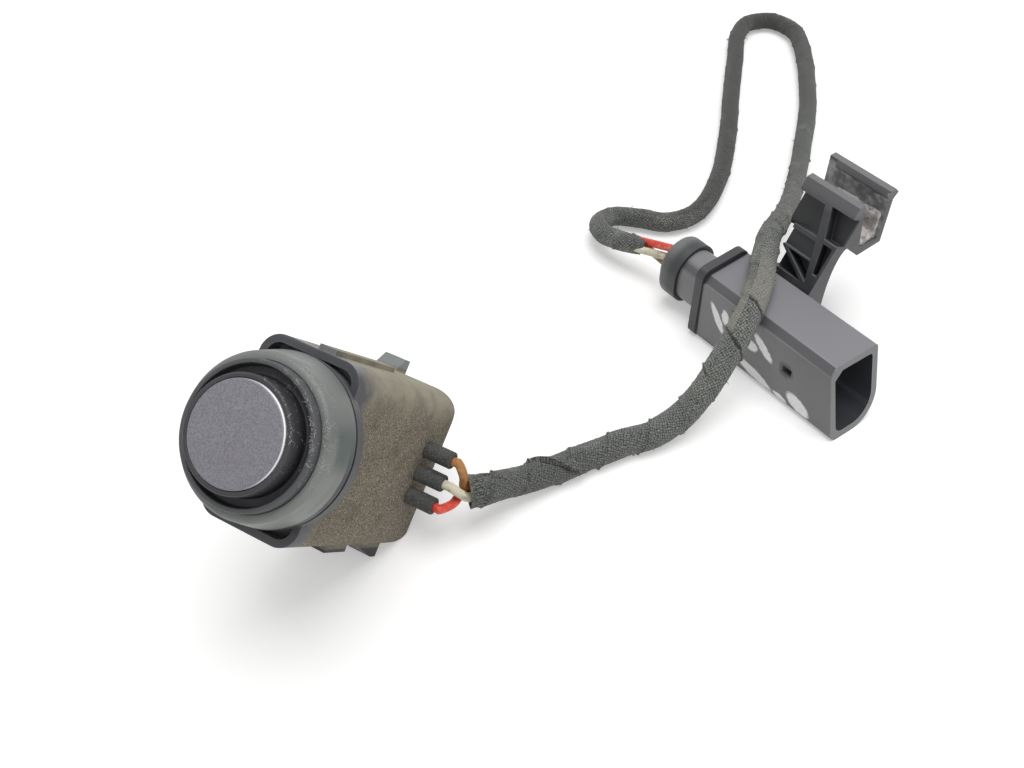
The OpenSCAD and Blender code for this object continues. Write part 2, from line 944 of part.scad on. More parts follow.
module mounting_clip() {
    side = clip_side + rail_fit;
    front = clip_side + clip_reach;
    top = channel_z + channel_h + bar_rise;
    lean = atan2(front - bar_lean - side, top - foot_z);
    height = norm([front - bar_lean - side, top - foot_z]);
    bar_place = front - bar_lean - channel_wall - side;
    color("black")
        place_plug()
            difference() {
                along_x(clip_x - far_lead, clip_x + clip_len)
                    clip_section();
                translate([clip_x - far_lead - cut, side - cut, base_low - cut])
                    cube([far_lead + cut, front + channel_w - side + cut, top]);
                translate([clip_x - cut, side - cut, base_low - cut])
                    cube([arm_inset + cut, clip_reach, channel_z - base_low + cut]);
                translate([clip_x - cut, side - cut, base_low])
                    cube([arm_inset + cut, bar_place, channel_h + channel_z]);
                translate([clip_x, side, foot_z])
                    rotate([-lean, 0, 0])
                        for (pocket = ladder)
                            along_y(-cut, pocket[0])
                                polygon([for (p = pocket[1]) [p.x * clip_len, p.y * height]]);
                translate([clip_x - rail_fit, clip_side, rail_z])
                    along_rail(rail_fit);
            }
}

module glue_residue() {
    front = clip_side + clip_reach + fit;
    back = clip_side + clip_reach + channel_w;
    floor_z = channel_z + channel_wall;
    color("gainsboro")
        place_plug()
            along_x(clip_x + glue_ends[0], clip_x + clip_len - glue_ends[1])
                polygon([
                    [front, floor_z],
                    [back, floor_z],
                    [back, floor_z + glue_rise],
                    [back - glue_film, floor_z + glue_rise - glue_film],
                    [back - glue_film, floor_z + 2 * glue_film],
                    [back - 3 * glue_film, floor_z + glue_film],
                    [front, floor_z + glue_film]
                ]);
}

membrane_cup();
piezo_disc();
damping_plug();
piezo_leads();
decoupling_ring();
front_collar();
sensor_housing();
circuit_board();
transformer();
signal_chip();
capacitors();
wire_terminals();
wire_sleeves();
brown_wire();
white_wire();
red_wire();
taped_harness();
plug_brown_wire();
plug_white_wire();
plug_red_wire();
plug_housing();
contact_pins();
terminal_lock();
wire_seal();
rear_cap();
mounting_clip();
glue_residue();
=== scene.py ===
import random
from math import cos, pi, radians, sin, tau

import bmesh
import bpy
from mathutils import Matrix, Vector, noise
from mathutils.geometry import interpolate_bezier


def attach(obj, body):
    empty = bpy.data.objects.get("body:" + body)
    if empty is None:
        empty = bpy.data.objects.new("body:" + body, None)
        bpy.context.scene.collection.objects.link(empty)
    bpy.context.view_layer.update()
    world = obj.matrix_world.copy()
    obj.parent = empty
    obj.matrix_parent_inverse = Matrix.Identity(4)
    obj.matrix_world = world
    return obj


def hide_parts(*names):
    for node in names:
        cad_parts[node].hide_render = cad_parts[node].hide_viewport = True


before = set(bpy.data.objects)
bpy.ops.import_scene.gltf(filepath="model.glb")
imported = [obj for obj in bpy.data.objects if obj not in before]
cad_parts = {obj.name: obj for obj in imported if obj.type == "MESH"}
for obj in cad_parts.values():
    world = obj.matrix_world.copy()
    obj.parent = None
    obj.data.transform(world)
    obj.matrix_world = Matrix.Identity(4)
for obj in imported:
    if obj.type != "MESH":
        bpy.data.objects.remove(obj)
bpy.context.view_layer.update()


# The viewpoint: a camera to the right of the sensor and above it, which looks down
# over the painted face and along the lead to the plug.
scene = bpy.context.scene
scene.view_settings.view_transform = "Standard"
lens = bpy.data.cameras.new("table_camera")
lens.lens = 38.67
lens.sensor_width = 36
lens.clip_start = 0.005
camera = bpy.data.objects.new("table_camera", lens)
camera.location = (0.1029, -0.04573, 0.158)
looking = Vector((-0.5309, 0.4178, -0.7373))
camera.rotation_euler = looking.to_track_quat("-Z", "Y").to_euler()
scene.collection.objects.link(camera)
scene.camera = camera


# The taped lead: three wires in a bundle, wound with black cloth tape in overlapping turns.
# It leaves the sensor, crosses over the plug, loops out behind it and comes back to the
# plug's rear cap. The tape is one mesh tube whose surface steps up at each edge of a turn.
MM = 0.001
LEAD_ROUTE = [
    (10.45, 17.72, 9), (10.95, 21.32, 7.4), (11.05, 26.72, 5), (12.05, 33.72, 3.1), (13.45, 42.32, 2.6),
    (15.05, 49.12, 2.6), (17.25, 55.62, 3), (18.05, 61.62, 5.2), (17.85, 67.12, 8.8), (16.95, 72.02, 12.6),
    (15.65, 76.72, 16), (13.65, 81.52, 18.3), (10.45, 86.72, 18.8), (6.05, 92.52, 18.8),
    (1.75, 98.92, 17.4), (-1.65, 105.12, 14.4), (-5.75, 112.92, 10.8), (-11.55, 122.62, 6.6),
    (-18.35, 132.92, 3.7), (-26.35, 144.12, 2.7), (-36.15, 157.12, 2.5), (-46.35, 168.32, 2.5),
    (-55.75, 177.32, 2.5), (-63.75, 182.72, 2.5), (-71.15, 182.12, 2.5), (-74.35, 176.12, 2.5),
    (-71.75, 169.32, 2.5), (-64.55, 160.92, 2.5), (-53.75, 148.32, 2.5), (-42.15, 135.32, 2.5),
    (-32.15, 122.72, 2.5), (-26.15, 112.32, 2.5), (-24.35, 105.12, 2.5), (-26.35, 99.12, 2.5),
    (-30.75, 95.52, 2.6), (-34.35, 91.32, 3), (-33.95, 86.32, 3.8), (-29.55, 83.72, 5),
    (-24.35, 84.12, 6.2), (-19.15, 85.72, 7.2),
]
LEAD_D = 4.8
TAPE_PITCH = 8.2
TAPE_RISE = 0.22
TAPE_T = 0.35
THREADS_ACROSS = 15
THREADS_ROUND = 28
RING_STEP = 0.32
LEAD_SIDES = 48
UP = Vector((0, 0, 1))


def smooth_path(points, step):
    """Points a fixed step apart on one smooth curve through the given points."""
    last = len(points) - 1
    fine = []
    for i in range(last):
        before, a = points[max(i - 1, 0)], points[i]
        b, after = points[i + 1], points[min(i + 2, last)]
        fine += interpolate_bezier(a, a + (b - before) / 6, b - (after - a) / 6, b, 40)[:-1]
    fine.append(points[-1])
    path, carried = [fine[0]], 0.0
    for a, b in zip(fine, fine[1:]):
        span = (b - a).length
        while carried + span >= step:
            a = a.lerp(b, (step - carried) / span)
            path.append(a)
            span, carried = (b - a).length, 0.0
        carried += span
    return path


def framed(path):
    """Each point of a path with its heading, the way up across it and its distance."""
    way_up, along, placed = None, 0.0, []
    for i, point in enumerate(path):
        heading = (path[min(i + 1, len(path) - 1)] - path[max(i - 1, 0)]).normalized()
        start = UP if way_up is None else way_up
        way_up = (start - heading * start.dot(heading)).normalized()
        if i:
            along += (point - path[i - 1]).length
        placed.append((point, heading, way_up, along))
    return placed


def tube(name, rings, sides):
    """A closed mesh tube through rings of (centre, heading, way up, radii, weave places)."""
    bm = bmesh.new()
    weave = bm.loops.layers.uv.new("weave")
    loops = []
    angles = [tau * k / sides for k in range(sides)]
    for centre, heading, way_up, radii, _ in rings:
        side = way_up.cross(heading)
        outwards = [cos(angle) * way_up + sin(angle) * side for angle in angles]
        loops.append([bm.verts.new(centre + out * radius) for out, radius in zip(outwards, radii)])
    for i in range(len(rings) - 1):
        for k in range(sides):
            j = (k + 1) % sides
            face = bm.faces.new((loops[i][k], loops[i + 1][k], loops[i + 1][j], loops[i][j]))
            spots = (rings[i][4][k], rings[i + 1][4][k], rings[i + 1][4][k + 1], rings[i][4][k + 1])
            for corner, spot in zip(face.loops, spots):
                corner[weave].uv = spot
    bm.faces.new(loops[0])
    bm.faces.new(loops[-1][::-1])
    return new_piece(name, bm, 60)


def new_piece(name, bm, sharp_angle):
    """The bmesh as a smooth-shaded object at the origin, with its sharp edges kept."""
    mesh = bpy.data.meshes.new(name)
    bm.to_mesh(mesh)
    bm.free()
    mesh.shade_smooth()
    mesh.set_sharp_from_angle(angle=radians(sharp_angle))
    piece = bpy.data.objects.new(name, mesh)
    scene.collection.objects.link(piece)
    return piece


LAP_START = 0.37
LAP_WANDER = 0.16
EDGE_WAVER = 0.035
EDGE_CLIMB = 0.04
TUFT_HEIGHT = 0.85
TUFT_WIDTH = 0.07
LUMP_HEIGHT = 0.1
FRAY_HEIGHT = 0.08
PLUG_PASSED = 75.0
SMOOTHER_OVER = 40.0
SENSOR_GIRTH = 0.1
LOOP_GIRTH = -0.3


def tape_radius(along, turn):
    """Height of the tape above the bundle's middle, in mm, and the place in the weave."""
    round_it = Vector((cos(tau * turn), sin(tau * turn), 0))
    lumps = noise.noise(round_it * 0.9 + Vector((3, 7, along * 0.16)))
    fray = noise.noise(round_it * 6 + Vector((9, 2, along * 1.7)))
    wander = noise.noise(Vector((along * 0.06, 5, 0)))
    lap = along / TAPE_PITCH - turn + LAP_START + EDGE_WAVER * fray + LAP_WANDER * wander
    within = lap % 1.0
    rise = TAPE_RISE * (0.75 + 0.9 * noise.noise(round_it * 0.8 + Vector((1, 4, along * 0.2))))
    climb = max(0.0, (within - (1 - EDGE_CLIMB)) / EDGE_CLIMB)
    past_plug = min(max((along - PLUG_PASSED) / SMOOTHER_OVER, 0.0), 1.0)
    step = rise * ((1 - within) ** 1.6 + climb) * (1 - 0.7 * past_plug)
    at_edge = max(0.0, 1 - min(within, 1 - within) / TUFT_WIDTH)
    tuft = TUFT_HEIGHT * max(0.0, fray) * at_edge * (1 - 0.5 * past_plug)
    girth = SENSOR_GIRTH * (1 - past_plug) + LOOP_GIRTH * past_plug
    u = lap * THREADS_ACROSS
    v = (turn + along * TAPE_PITCH / (pi * LEAD_D) ** 2) * THREADS_ROUND
    radius = LEAD_D / 2 + girth + step + tuft + LUMP_HEIGHT * lumps + FRAY_HEIGHT * fray
    return radius, (u, v)


SLACK_FOLDS = [(18.0, 6.5, -0.015, 0.95, 0.55), (4.2, 3.2, 0.05, 0.2, 0.4)]
FOLD_LEAN = 0.05
FOLD_SPAN = 0.2
CREVICE_SPAN = 0.06


def fold_height(along, turn):
    """Slack turns near the sensor, where the tape stands off in slanting folds with a crevice.

    A fold is its middle and reach along the lead, its place round it, its height and its crevice's depth.
    """
    height = 0.0
    for middle, reach, at_turn, high, deep in SLACK_FOLDS:
        window = max(0.0, 1 - ((along - middle) / reach) ** 2)
        off = (turn - at_turn + FOLD_LEAN * (along - middle) + 0.5) % 1.0 - 0.5
        if off >= 0:
            height += high * window * max(0.0, 1 - off / FOLD_SPAN) ** 1.4
        else:
            height -= deep * window * max(0.0, 1 + off / CREVICE_SPAN)
    return height


CUT_SLANT = Vector((0.22, -0.16, 0.36))
SLANT_REACH = 9.0
FLARE_REACH = 6.0
MOUTH_FLARE = 0.45
END_NIP = 0.3
MOUTH_DEPTH = 2.2
lead_path = smooth_path([Vector(p) * MM for p in LEAD_ROUTE], RING_STEP * MM)
lead_frame = framed(lead_path)
lead_length = lead_frame[-1][3]
lead_rings = []
for centre, heading, way_up, distance in lead_frame:
    along = distance / MM
    to_end = (lead_length - distance) / MM
    slant = max(0.0, 1 - along / SLANT_REACH) - max(0.0, 1 - to_end / SLANT_REACH)
    heading = (heading + CUT_SLANT * slant).normalized()
    way_up = (way_up - heading * way_up.dot(heading)).normalized()
    flare = MOUTH_FLARE * max(0.0, 1 - along / FLARE_REACH) ** 1.5
    flare -= END_NIP * max(0.0, 1 - to_end / FLARE_REACH) ** 2
    radii, spots = [], []
    for k in range(LEAD_SIDES + 1):
        turn = k / LEAD_SIDES
        radius, spot = tape_radius(along, turn)
        radius = (radius + flare + fold_height(along, turn)) * MM
        drop = -(cos(tau * turn) * way_up + sin(tau * turn) * way_up.cross(heading)).z
        radii.append(min(radius, centre.z / drop) if drop > 0 else radius)
        spots.append(spot)
    lead_rings.append((centre, heading, way_up, radii, spots))


def open_mouth(ring, inwards):
    """Rings that turn the tape's end in, so that it is an open mouth round the wires."""
    centre, heading, way_up, radii, spots = ring
    wall = [r - TAPE_T * MM for r in radii]
    floor = [0.5 * r for r in radii]
    deep = centre + heading * inwards * MOUTH_DEPTH * MM
    return [
        (deep, heading, way_up, floor, spots),
        (deep, heading, way_up, wall, spots),
        (centre, heading, way_up, wall, spots),
    ]


lead_rings = open_mouth(lead_rings[0], 1) + lead_rings + open_mouth(lead_rings[-1], -1)[::-1]
lead = tube("taped_lead", lead_rings, LEAD_SIDES)


def add(tree, kind, feeds=None, **settings):
    """A shader node with its settings, and with its inputs set or fed by other nodes."""
    node = tree.nodes.new("ShaderNode" + kind)
    for key, value in settings.items():
        setattr(node, key, value)
    for key, value in (feeds or {}).items():
        if isinstance(value, bpy.types.NodeSocket):
            tree.links.new(value, node.inputs[key])
        else:
            node.inputs[key].default_value = value
    return node


def shade(red, green, blue):
    """A colour as a screen shows it, turned into the linear colour that a shader takes."""
    levels = [c / 255 for c in (red, green, blue)]
    return tuple(c / 12.92 if c <= 0.04045 else ((c + 0.055) / 1.055) ** 2.4 for c in levels) + (1,)


def mixed(tree, mask, under, over):
    """One colour laid over another by a mask."""
    return add(tree, "Mix", {0: mask, 6: under, 7: over}, data_type="RGBA").outputs[2]


def sums(tree, operation, first, second=0.0):
    """The result of one sum on two values."""
    return add(tree, "Math", {0: first, 1: second}, operation=operation).outputs[0]


def times(tree, first, second):
    """One value times another."""
    return sums(tree, "MULTIPLY", first, second)


def plus(tree, first, second):
    """One value added to another."""
    return sums(tree, "ADD", first, second)


def ramp(tree, value, low, high, start=0.0, end=1.0):
    """A value eased from one level to another between two limits."""
    feeds = {0: value, 1: low, 2: high, 3: start, 4: end}
    return add(tree, "MapRange", feeds, interpolation_type="SMOOTHSTEP").outputs[0]


def between(tree, value, start, full, fade, end):
    """A mask that rises from start to full, and falls again from fade to end."""
    return times(tree, ramp(tree, value, start, full), ramp(tree, value, end, fade))


def vectors(tree, operation, first, second):
    """The vector that one sum on two vectors gives."""
    return add(tree, "VectorMath", {0: first, 1: second}, operation=operation).outputs[0]


def scaled(tree, vector, scale):
    """A vector times a number."""
    return add(tree, "VectorMath", {0: vector, "Scale": scale}, operation="SCALE").outputs[0]


def split(tree, vector):
    """The three values of a vector."""
    return add(tree, "SeparateXYZ", {0: vector}).outputs


def wavered(tree, spot, place, scale, detail, reach):
    """A spot pushed about by soft noise, half its reach each way."""
    noisy = add(tree, "TexNoise", {"Vector": place, "Scale": scale, "Detail": detail}).outputs["Color"]
    push = scaled(tree, vectors(tree, "SUBTRACT", noisy, (0.5, 0.5, 0.5)), reach)
    return vectors(tree, "ADD", spot, push)


def speckle(tree, place, scale, detail=3.0, rough=0.6):
    """Cloudy noise at so many blots a millimetre."""
    feeds = {"Vector": place, "Scale": scale, "Detail": detail, "Roughness": rough}
    return add(tree, "TexNoise", feeds).outputs["Fac"]


def new_material(name, roughness, **sockets):
    """A material with its shader, and the place on the piece in millimetres."""
    material = bpy.data.materials.new(name)
    material.use_nodes = True
    tree = material.node_tree
    shader = tree.nodes["Principled BSDF"]
    shader.inputs["Roughness"].default_value = roughness
    for key, value in sockets.items():
        shader.inputs[key.replace("_", " ")].default_value = value
    coords = add(tree, "TexCoord").outputs["Object"]
    return material, tree, shader, scaled(tree, coords, 1 / MM)


def feed(shader, socket, value):
    """Lets a value from other nodes drive a socket of the shader."""
    shader.id_data.links.new(value, shader.inputs[socket])


def bump(tree, shader, height, depth, strength=1.0):
    """Raises the surface by a height of so many millimetres at most."""
    feeds = {"Height": height, "Distance": depth * MM, "Strength": strength}
    node = add(tree, "Bump", feeds)
    feed(shader, "Normal", node.outputs[0])


def dress(piece, material, slot, *nodes):
    """Gives a piece its material and its place in the frame."""
    piece.data.materials.clear()
    piece.data.materials.append(material)
    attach(piece, "root")
    if nodes:
        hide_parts(*nodes)


TAPE_GAP = shade(40, 42, 40)
TAPE_THREAD = shade(142, 145, 140)
TAPE_RUBBED = shade(176, 179, 172)
TAPE_CLAY = shade(164, 160, 144)
TAPE_CREVICE_SHADE = shade(30, 31, 30)
CREVICE_IN_LAP = (0.93, 0.96, 0.98, 1.0)
CREVICE_SHADE_LAPS = (6.3, 6.8, 8.2, 8.7)
CLAY_LAPS = (7.9, 8.1, 9.0, 9.6)
FADED_LAPS = (2.0, 7.0, 8.0, 12.0)
FRESH_LAPS = (13.0, 30.0, 36.0, 38.0)
cloth_tape, tree, shader, place = new_material("cloth_tape", 0.92, Sheen_Weight=0.2, Sheen_Roughness=0.5)
weave = add(tree, "UVMap", uv_map="weave").outputs["UV"]
threads = split(tree, wavered(tree, weave, place, 1.3, 2.0, 2.0))
across = sums(tree, "SINE", times(tree, threads[0], pi))
round_it = sums(tree, "SINE", times(tree, threads[1], pi))
crossing = sums(tree, "ABSOLUTE", times(tree, across, round_it))
knots = sums(tree, "POWER", crossing, 0.75)
fuzz = speckle(tree, place, 5.0, 4.0, 0.7)
blots = speckle(tree, place, 0.22, 3.0)
laps = sums(tree, "DIVIDE", threads[0], float(THREADS_ACROSS))
body = times(tree, knots, ramp(tree, fuzz, 0.3, 0.7, 0.25, 1.5))
colour = mixed(tree, body, TAPE_GAP, TAPE_THREAD)
rub = times(tree, ramp(tree, blots, 0.5, 0.75), times(tree, knots, 0.6))
colour = mixed(tree, rub, colour, TAPE_RUBBED)
clay = between(tree, laps, *CLAY_LAPS)
colour = mixed(tree, times(tree, clay, 0.42), colour, TAPE_CLAY)
faded = between(tree, laps, *FADED_LAPS)
colour = mixed(tree, times(tree, faded, times(tree, knots, 0.3)), colour, TAPE_RUBBED)
fresh = times(tree, between(tree, laps, *FRESH_LAPS), 0.6)
fresh = sums(tree, "MAXIMUM", fresh, ramp(tree, laps, 4.0, 1.5, 0.0, 0.22))
colour = mixed(tree, fresh, colour, TAPE_GAP)
# Painted shade: a dark line along the edge of each turn, where shade falls in the crevice at the foot of
# the next turn; faint on every turn and strong on one stretch of the climb.
crevice_shade_zone = between(tree, laps, *CREVICE_SHADE_LAPS)
crevice_shade = between(tree, sums(tree, "FRACT", laps), *CREVICE_IN_LAP)
crevice_shade = times(tree, crevice_shade, ramp(tree, crevice_shade_zone, 0.0, 1.0, 0.08, 0.9))
colour = mixed(tree, crevice_shade, colour, TAPE_CREVICE_SHADE)
feed(shader, "Base Color", colour)
bump(tree, shader, plus(tree, knots, times(tree, fuzz, 0.7)), 0.14)
dress(lead, cloth_tape, "cloth_tape", "taped_harness")


# Loose threads: short ends of yarn that stick out along the cut edges of the tape.
# They are the tape's own cotton, frayed where the turns were torn off and rubbed.
THREAD_COUNT = 150
THREAD_R = (0.09, 0.03)
THREAD_LENGTH = (0.35, 0.95)
BARE_RINGS = 12
TABLE_GAP = 0.2


def fibre(bm, middle, lean, length, thick, thin):
    """A short straight fibre about its middle, with its two radii in millimetres."""
    turned = lean.to_track_quat("Z", "Y").to_matrix().to_4x4()
    bmesh.ops.create_cone(
        bm, cap_ends=True, segments=5, radius1=thick * MM, radius2=thin * MM, depth=length,
        matrix=Matrix.Translation(middle) @ turned,
    )


draw = random.Random(11)
bm = bmesh.new()
for _ in range(THREAD_COUNT):
    centre, heading, way_up, distance = lead_frame[draw.randrange(BARE_RINGS, len(lead_frame) - BARE_RINGS)]
    along = distance / MM
    turn = (along / TAPE_PITCH + draw.uniform(-0.04, 0.03)) % 1.0
    side = way_up.cross(heading)
    outwards = cos(tau * turn) * way_up + sin(tau * turn) * side
    root = centre + outwards * (tape_radius(along, turn)[0] - 0.05) * MM
    lean = outwards + draw.uniform(-0.9, 0.5) * heading + draw.uniform(-0.6, 0.6) * side
    lean.normalize()
    length = draw.uniform(*THREAD_LENGTH) * MM
    if (root + lean * length).z > TABLE_GAP * MM:
        fibre(bm, root + lean * length * 0.45, lean, length, *THREAD_R)
tape_threads = new_piece("tape_threads", bm, 40)
yarn, tree, shader, place = new_material("loose_yarn", 0.95, Sheen_Weight=0.3)
colour = mixed(tree, speckle(tree, place, 3.0), shade(52, 53, 52), shade(112, 113, 110))
feed(shader, "Base Color", colour)
dress(tape_threads, yarn, "cloth_tape")


# The short open wires: soft insulated copper, brown, white and red. At the sensor each one
# comes straight out of its rubber sleeve and bends into the tape; at the plug they leave
# the tape side by side and go in through the rear cap.
WIRE_D = 1.65
WIRE_SIDES = 20
WIRE_STEP = 0.25
WIRE_START = -1.2
WIRE_BOW = Vector((0.4, -0.3, 0))
WIRE_Y = 43.4
WIRE_PITCH = 4.1
SLEEVE_END = 13.85
BUNDLE = (0.6, 0.34, 0.7)
PLUG_AT = Vector((35.55, 87.12, 0))
CAP_BACK = -46.6
NECK_BACK = -43.2
BARREL_BACK = -25.4
CONTACT_PITCH = 2.6
NECK_Z = 8.0
TAPE_REACH = 1.5
SENSOR_TURN = 22.1
FACE_TILT = 50.5
SENSOR_AT = Vector((6.212, -16.677, 45.660))
sensor_place = (
    Matrix.Translation(SENSOR_AT * MM)
    @ Matrix.Rotation(radians(SENSOR_TURN), 4, "Z")
    @ Matrix.Rotation(radians(-FACE_TILT), 4, "X")
)


def on_sensor(x, y, z):
    """A point in the sensor's own frame, in millimetres, placed on the table."""
    return sensor_place @ (Vector((x, y, z)) * MM)


def bundled(k, heading):
    """Where wire k lies in the bundle: one on one side, a pair on the other."""
    side = UP.cross(heading).normalized()
    return k * BUNDLE[0] * heading.cross(side) + (BUNDLE[1] if k else -BUNDLE[2]) * side


def wire(name, points):
    """A round insulated wire, a little uneven, through the given points."""
    rings = []
    for centre, heading, way_up, distance in framed(smooth_path(points, WIRE_STEP * MM)):
        along = distance / MM
        radii, spots = [], []
        for k in range(WIRE_SIDES + 1):
            turn = k / WIRE_SIDES
            uneven = noise.noise(Vector((cos(tau * turn), sin(tau * turn), along * 0.5)) * 0.8)
            radii.append(WIRE_D * MM / 2 * (0.98 + 0.04 * uneven))
            spots.append((along, turn))
        rings.append((centre, heading, way_up, radii, spots))
    return tube(name, rings, WIRE_SIDES)


def insulation(name, clean, dirty, pale, streaks):
    """Soft plastic insulation with dull dirt in streaks and a paler stretched side."""
    material, tree, shader, place = new_material(name, 0.42, Coat_Weight=0.08, Coat_Roughness=0.3)
    along = add(tree, "UVMap", uv_map="weave").outputs["UV"]
    streak = speckle(tree, vectors(tree, "MULTIPLY", along, (0.6, 5.0, 1.0)), 1.0, 5.0, 0.7)
    blot = speckle(tree, place, 0.55, 4.0)
    colour = mixed(tree, ramp(tree, blot, 0.45, 0.75), clean, pale)
    colour = mixed(tree, ramp(tree, streak, *streaks), colour, dirty)
    feed(shader, "Base Color", colour)
    feed(shader, "Roughness", ramp(tree, blot, 0.3, 0.7, 0.32, 0.6))
    bump(tree, shader, streak, 0.06, 0.5)
    return material


WIRE_LOOKS = {
    "brown": (1, shade(176, 118, 58), shade(92, 62, 38), shade(206, 158, 96), (0.5, 0.72)),
    "white": (0, shade(214, 209, 184), shade(128, 130, 104), shade(236, 232, 212), (0.5, 0.7)),
    "red": (-1, shade(219, 64, 46), shade(176, 48, 38), shade(238, 138, 108), (0.6, 0.82)),
}
first, last = Vector(LEAD_ROUTE[0]), Vector(LEAD_ROUTE[-1])
setting_out = (Vector(LEAD_ROUTE[1]) - first).normalized()
coming_in = (last - Vector(LEAD_ROUTE[-2])).normalized()
open_wires = []
for tint, (k, clean, dirty, pale, streaks) in WIRE_LOOKS.items():
    coat = insulation(tint + "_insulation", clean, dirty, pale, streaks)
    into_tape = (first + WIRE_D * bundled(k, setting_out)) * MM
    leave = on_sensor(SLEEVE_END + 1, WIRE_Y, k * WIRE_PITCH)
    sensor_wire = wire(tint + "_lead_wire", [
        on_sensor(WIRE_START, WIRE_Y, k * WIRE_PITCH),
        on_sensor(SLEEVE_END / 2, WIRE_Y, k * WIRE_PITCH),
        on_sensor(SLEEVE_END, WIRE_Y, k * WIRE_PITCH),
        leave,
        leave.lerp(into_tape, 0.5) + WIRE_BOW * MM,
        into_tape - setting_out * MM,
        into_tape,
        into_tape + setting_out * TAPE_REACH * MM,
    ])
    dress(sensor_wire, coat, tint + "_insulation", tint + "_wire")
    out_of_tape = (last + WIRE_D * bundled(-k, coming_in)) * MM
    z = NECK_Z - k * CONTACT_PITCH
    depths = (CAP_BACK, NECK_BACK, BARREL_BACK)
    enter, seal, barrel = ((PLUG_AT + Vector((x, 0, z))) * MM for x in depths)
    plug_wire = wire(tint + "_plug_wire", [
        out_of_tape - coming_in * TAPE_REACH * MM,
        out_of_tape,
        out_of_tape + coming_in * MM,
        enter - Vector((MM, 0, 0)),
        enter,
        seal,
        barrel,
    ])
    dress(plug_wire, coat, tint + "_insulation", "plug_" + tint + "_wire")
    open_wires += [sensor_wire, plug_wire]


# The membrane cup: a drawn aluminium cup, painted in a grey car colour on its face, with
# the piezo disc bonded behind it. Its turned chamfer shows bare round the paint, and it is
# painted brightest at its upper right as a painted highlight.
def turned_piece(name, profile, places, steps=144, sharp_angle=30):
    """Corners of (radius, depth, rounding) in mm, rounded, spun about the depth and placed."""
    bm = bmesh.new()
    for spot in places:
        part = bmesh.new()
        corners = [part.verts.new((r * MM, depth * MM, 0)) for r, depth, _ in profile]
        closed = profile[0][0] > 0
        for a, b in zip(corners, corners[1:] + corners[:1] if closed else corners[1:]):
            part.edges.new((a, b))
        for rounding in sorted({p[2] for p in profile} - {0}):
            rounded = [v for v, p in zip(corners, profile) if p[2] == rounding]
            bmesh.ops.bevel(
                part, geom=rounded, offset=rounding * MM, affect="VERTICES", segments=4, profile=0.5,
                material=-1,
            )
        bmesh.ops.spin(
            part, geom=part.verts[:] + part.edges[:], cent=(0, 0, 0), axis=(0, 1, 0), angle=tau,
            steps=steps, use_merge=True,
        )
        bmesh.ops.remove_doubles(part, verts=part.verts, dist=1e-7)
        bmesh.ops.recalc_face_normals(part, faces=part.faces)
        bmesh.ops.transform(part, matrix=spot, verts=part.verts)
        joined = bpy.data.meshes.new("turned_part")
        part.to_mesh(joined)
        part.free()
        bm.from_mesh(joined)
        bpy.data.meshes.remove(joined)
    return new_piece(name, bm, sharp_angle)


def sensor_mm(tree):
    """The place on a piece in the sensor's own frame, in millimetres."""
    coords = add(tree, "TexCoord").outputs["Object"]
    feeds = {
        "Vector": coords,
        "Location": SENSOR_AT * MM,
        "Rotation": (radians(-FACE_TILT), 0, radians(SENSOR_TURN)),
        "Scale": (MM, MM, MM),
    }
    return add(tree, "Mapping", feeds, vector_type="TEXTURE").outputs[0]


def off_axis(tree, spot):
    """How far a place is from the sensor's axis."""
    squared = plus(tree, sums(tree, "POWER", spot[0], 2.0), sums(tree, "POWER", spot[2], 2.0))
    return sums(tree, "SQRT", squared)


CUP_R = 7.6
CUP_HOLLOW_R = 6.6
CUP_BACK = 8.6
FACE_T = 1.1
CHAMFER = 0.3
PAINT_EDGE = (0.2, 0.14)
cup = turned_piece("membrane_cup_painted", [
    (0, 0, 0), (CUP_R - CHAMFER, 0, 0.06), (CUP_R, CHAMFER, 0.06), (CUP_R, CUP_BACK, 0.1),
    (CUP_HOLLOW_R, CUP_BACK, 0.1), (CUP_HOLLOW_R, FACE_T, 0.1), (0, FACE_T, 0),
], [sensor_place])
face_paint, tree, shader, place = new_material(
    "face_paint", 0.45, Metallic=0.35, Coat_Weight=0.15, Coat_Roughness=0.25
)
local = sensor_mm(tree)
flakes = add(tree, "TexVoronoi", {"Vector": place, "Scale": 7.0}).outputs["Color"]
flake = add(tree, "SeparateColor", {0: flakes}).outputs[0]
clouds = speckle(tree, place, 0.35, 4.0)
colour = mixed(tree, ramp(tree, flake, 0.0, 1.0), shade(112, 111, 117), shade(141, 140, 146))
colour = mixed(tree, ramp(tree, clouds, 0.4, 0.75, 0.0, 0.35), colour, shade(124, 118, 130))
spot = split(tree, local)
# The bare chamfer shows faintly all round. At the upper right it is painted bright, a painted highlight
# where the lamp light falls.
bare = ramp(tree, off_axis(tree, spot), *(CUP_R - inset for inset in PAINT_EDGE))
painted_highlight = ramp(tree, plus(tree, spot[0], times(tree, spot[2], 0.45)), 1.0, 6.5, 0.12, 1.0)
colour = mixed(tree, times(tree, bare, painted_highlight), colour, shade(240, 240, 243))
feed(shader, "Base Color", colour)
feed(shader, "Roughness", ramp(tree, flake, 0.0, 1.0, 0.4, 0.58))
bump(tree, shader, flake, 0.008, 0.4)
dress(cup, face_paint, "face_paint", "membrane_cup")


# The decoupling ring: soft black silicone moulded round the cup, so that the cup can ring
# freely. It has a nose, an open groove and an outer lip, and dust and lint cling to it.
# The groove is painted dark as painted shade.
def new_group(name, inputs, outputs):
    """A shader node group with named inputs and outputs; returns it and its two ends."""
    group = bpy.data.node_groups.new(name, "ShaderNodeTree")
    for label, kind, value in inputs:
        group.interface.new_socket(label, in_out="INPUT", socket_type=kind).default_value = value
    for label, kind in outputs:
        group.interface.new_socket(label, in_out="OUTPUT", socket_type=kind)
    return group, group.nodes.new("NodeGroupInput").outputs, group.nodes.new("NodeGroupOutput").inputs


def facing(tree, first, second):
    """How far two directions agree, from 1 where they are the same to -1."""
    return add(tree, "VectorMath", {0: first, 1: second}, operation="DOT_PRODUCT").outputs["Value"]


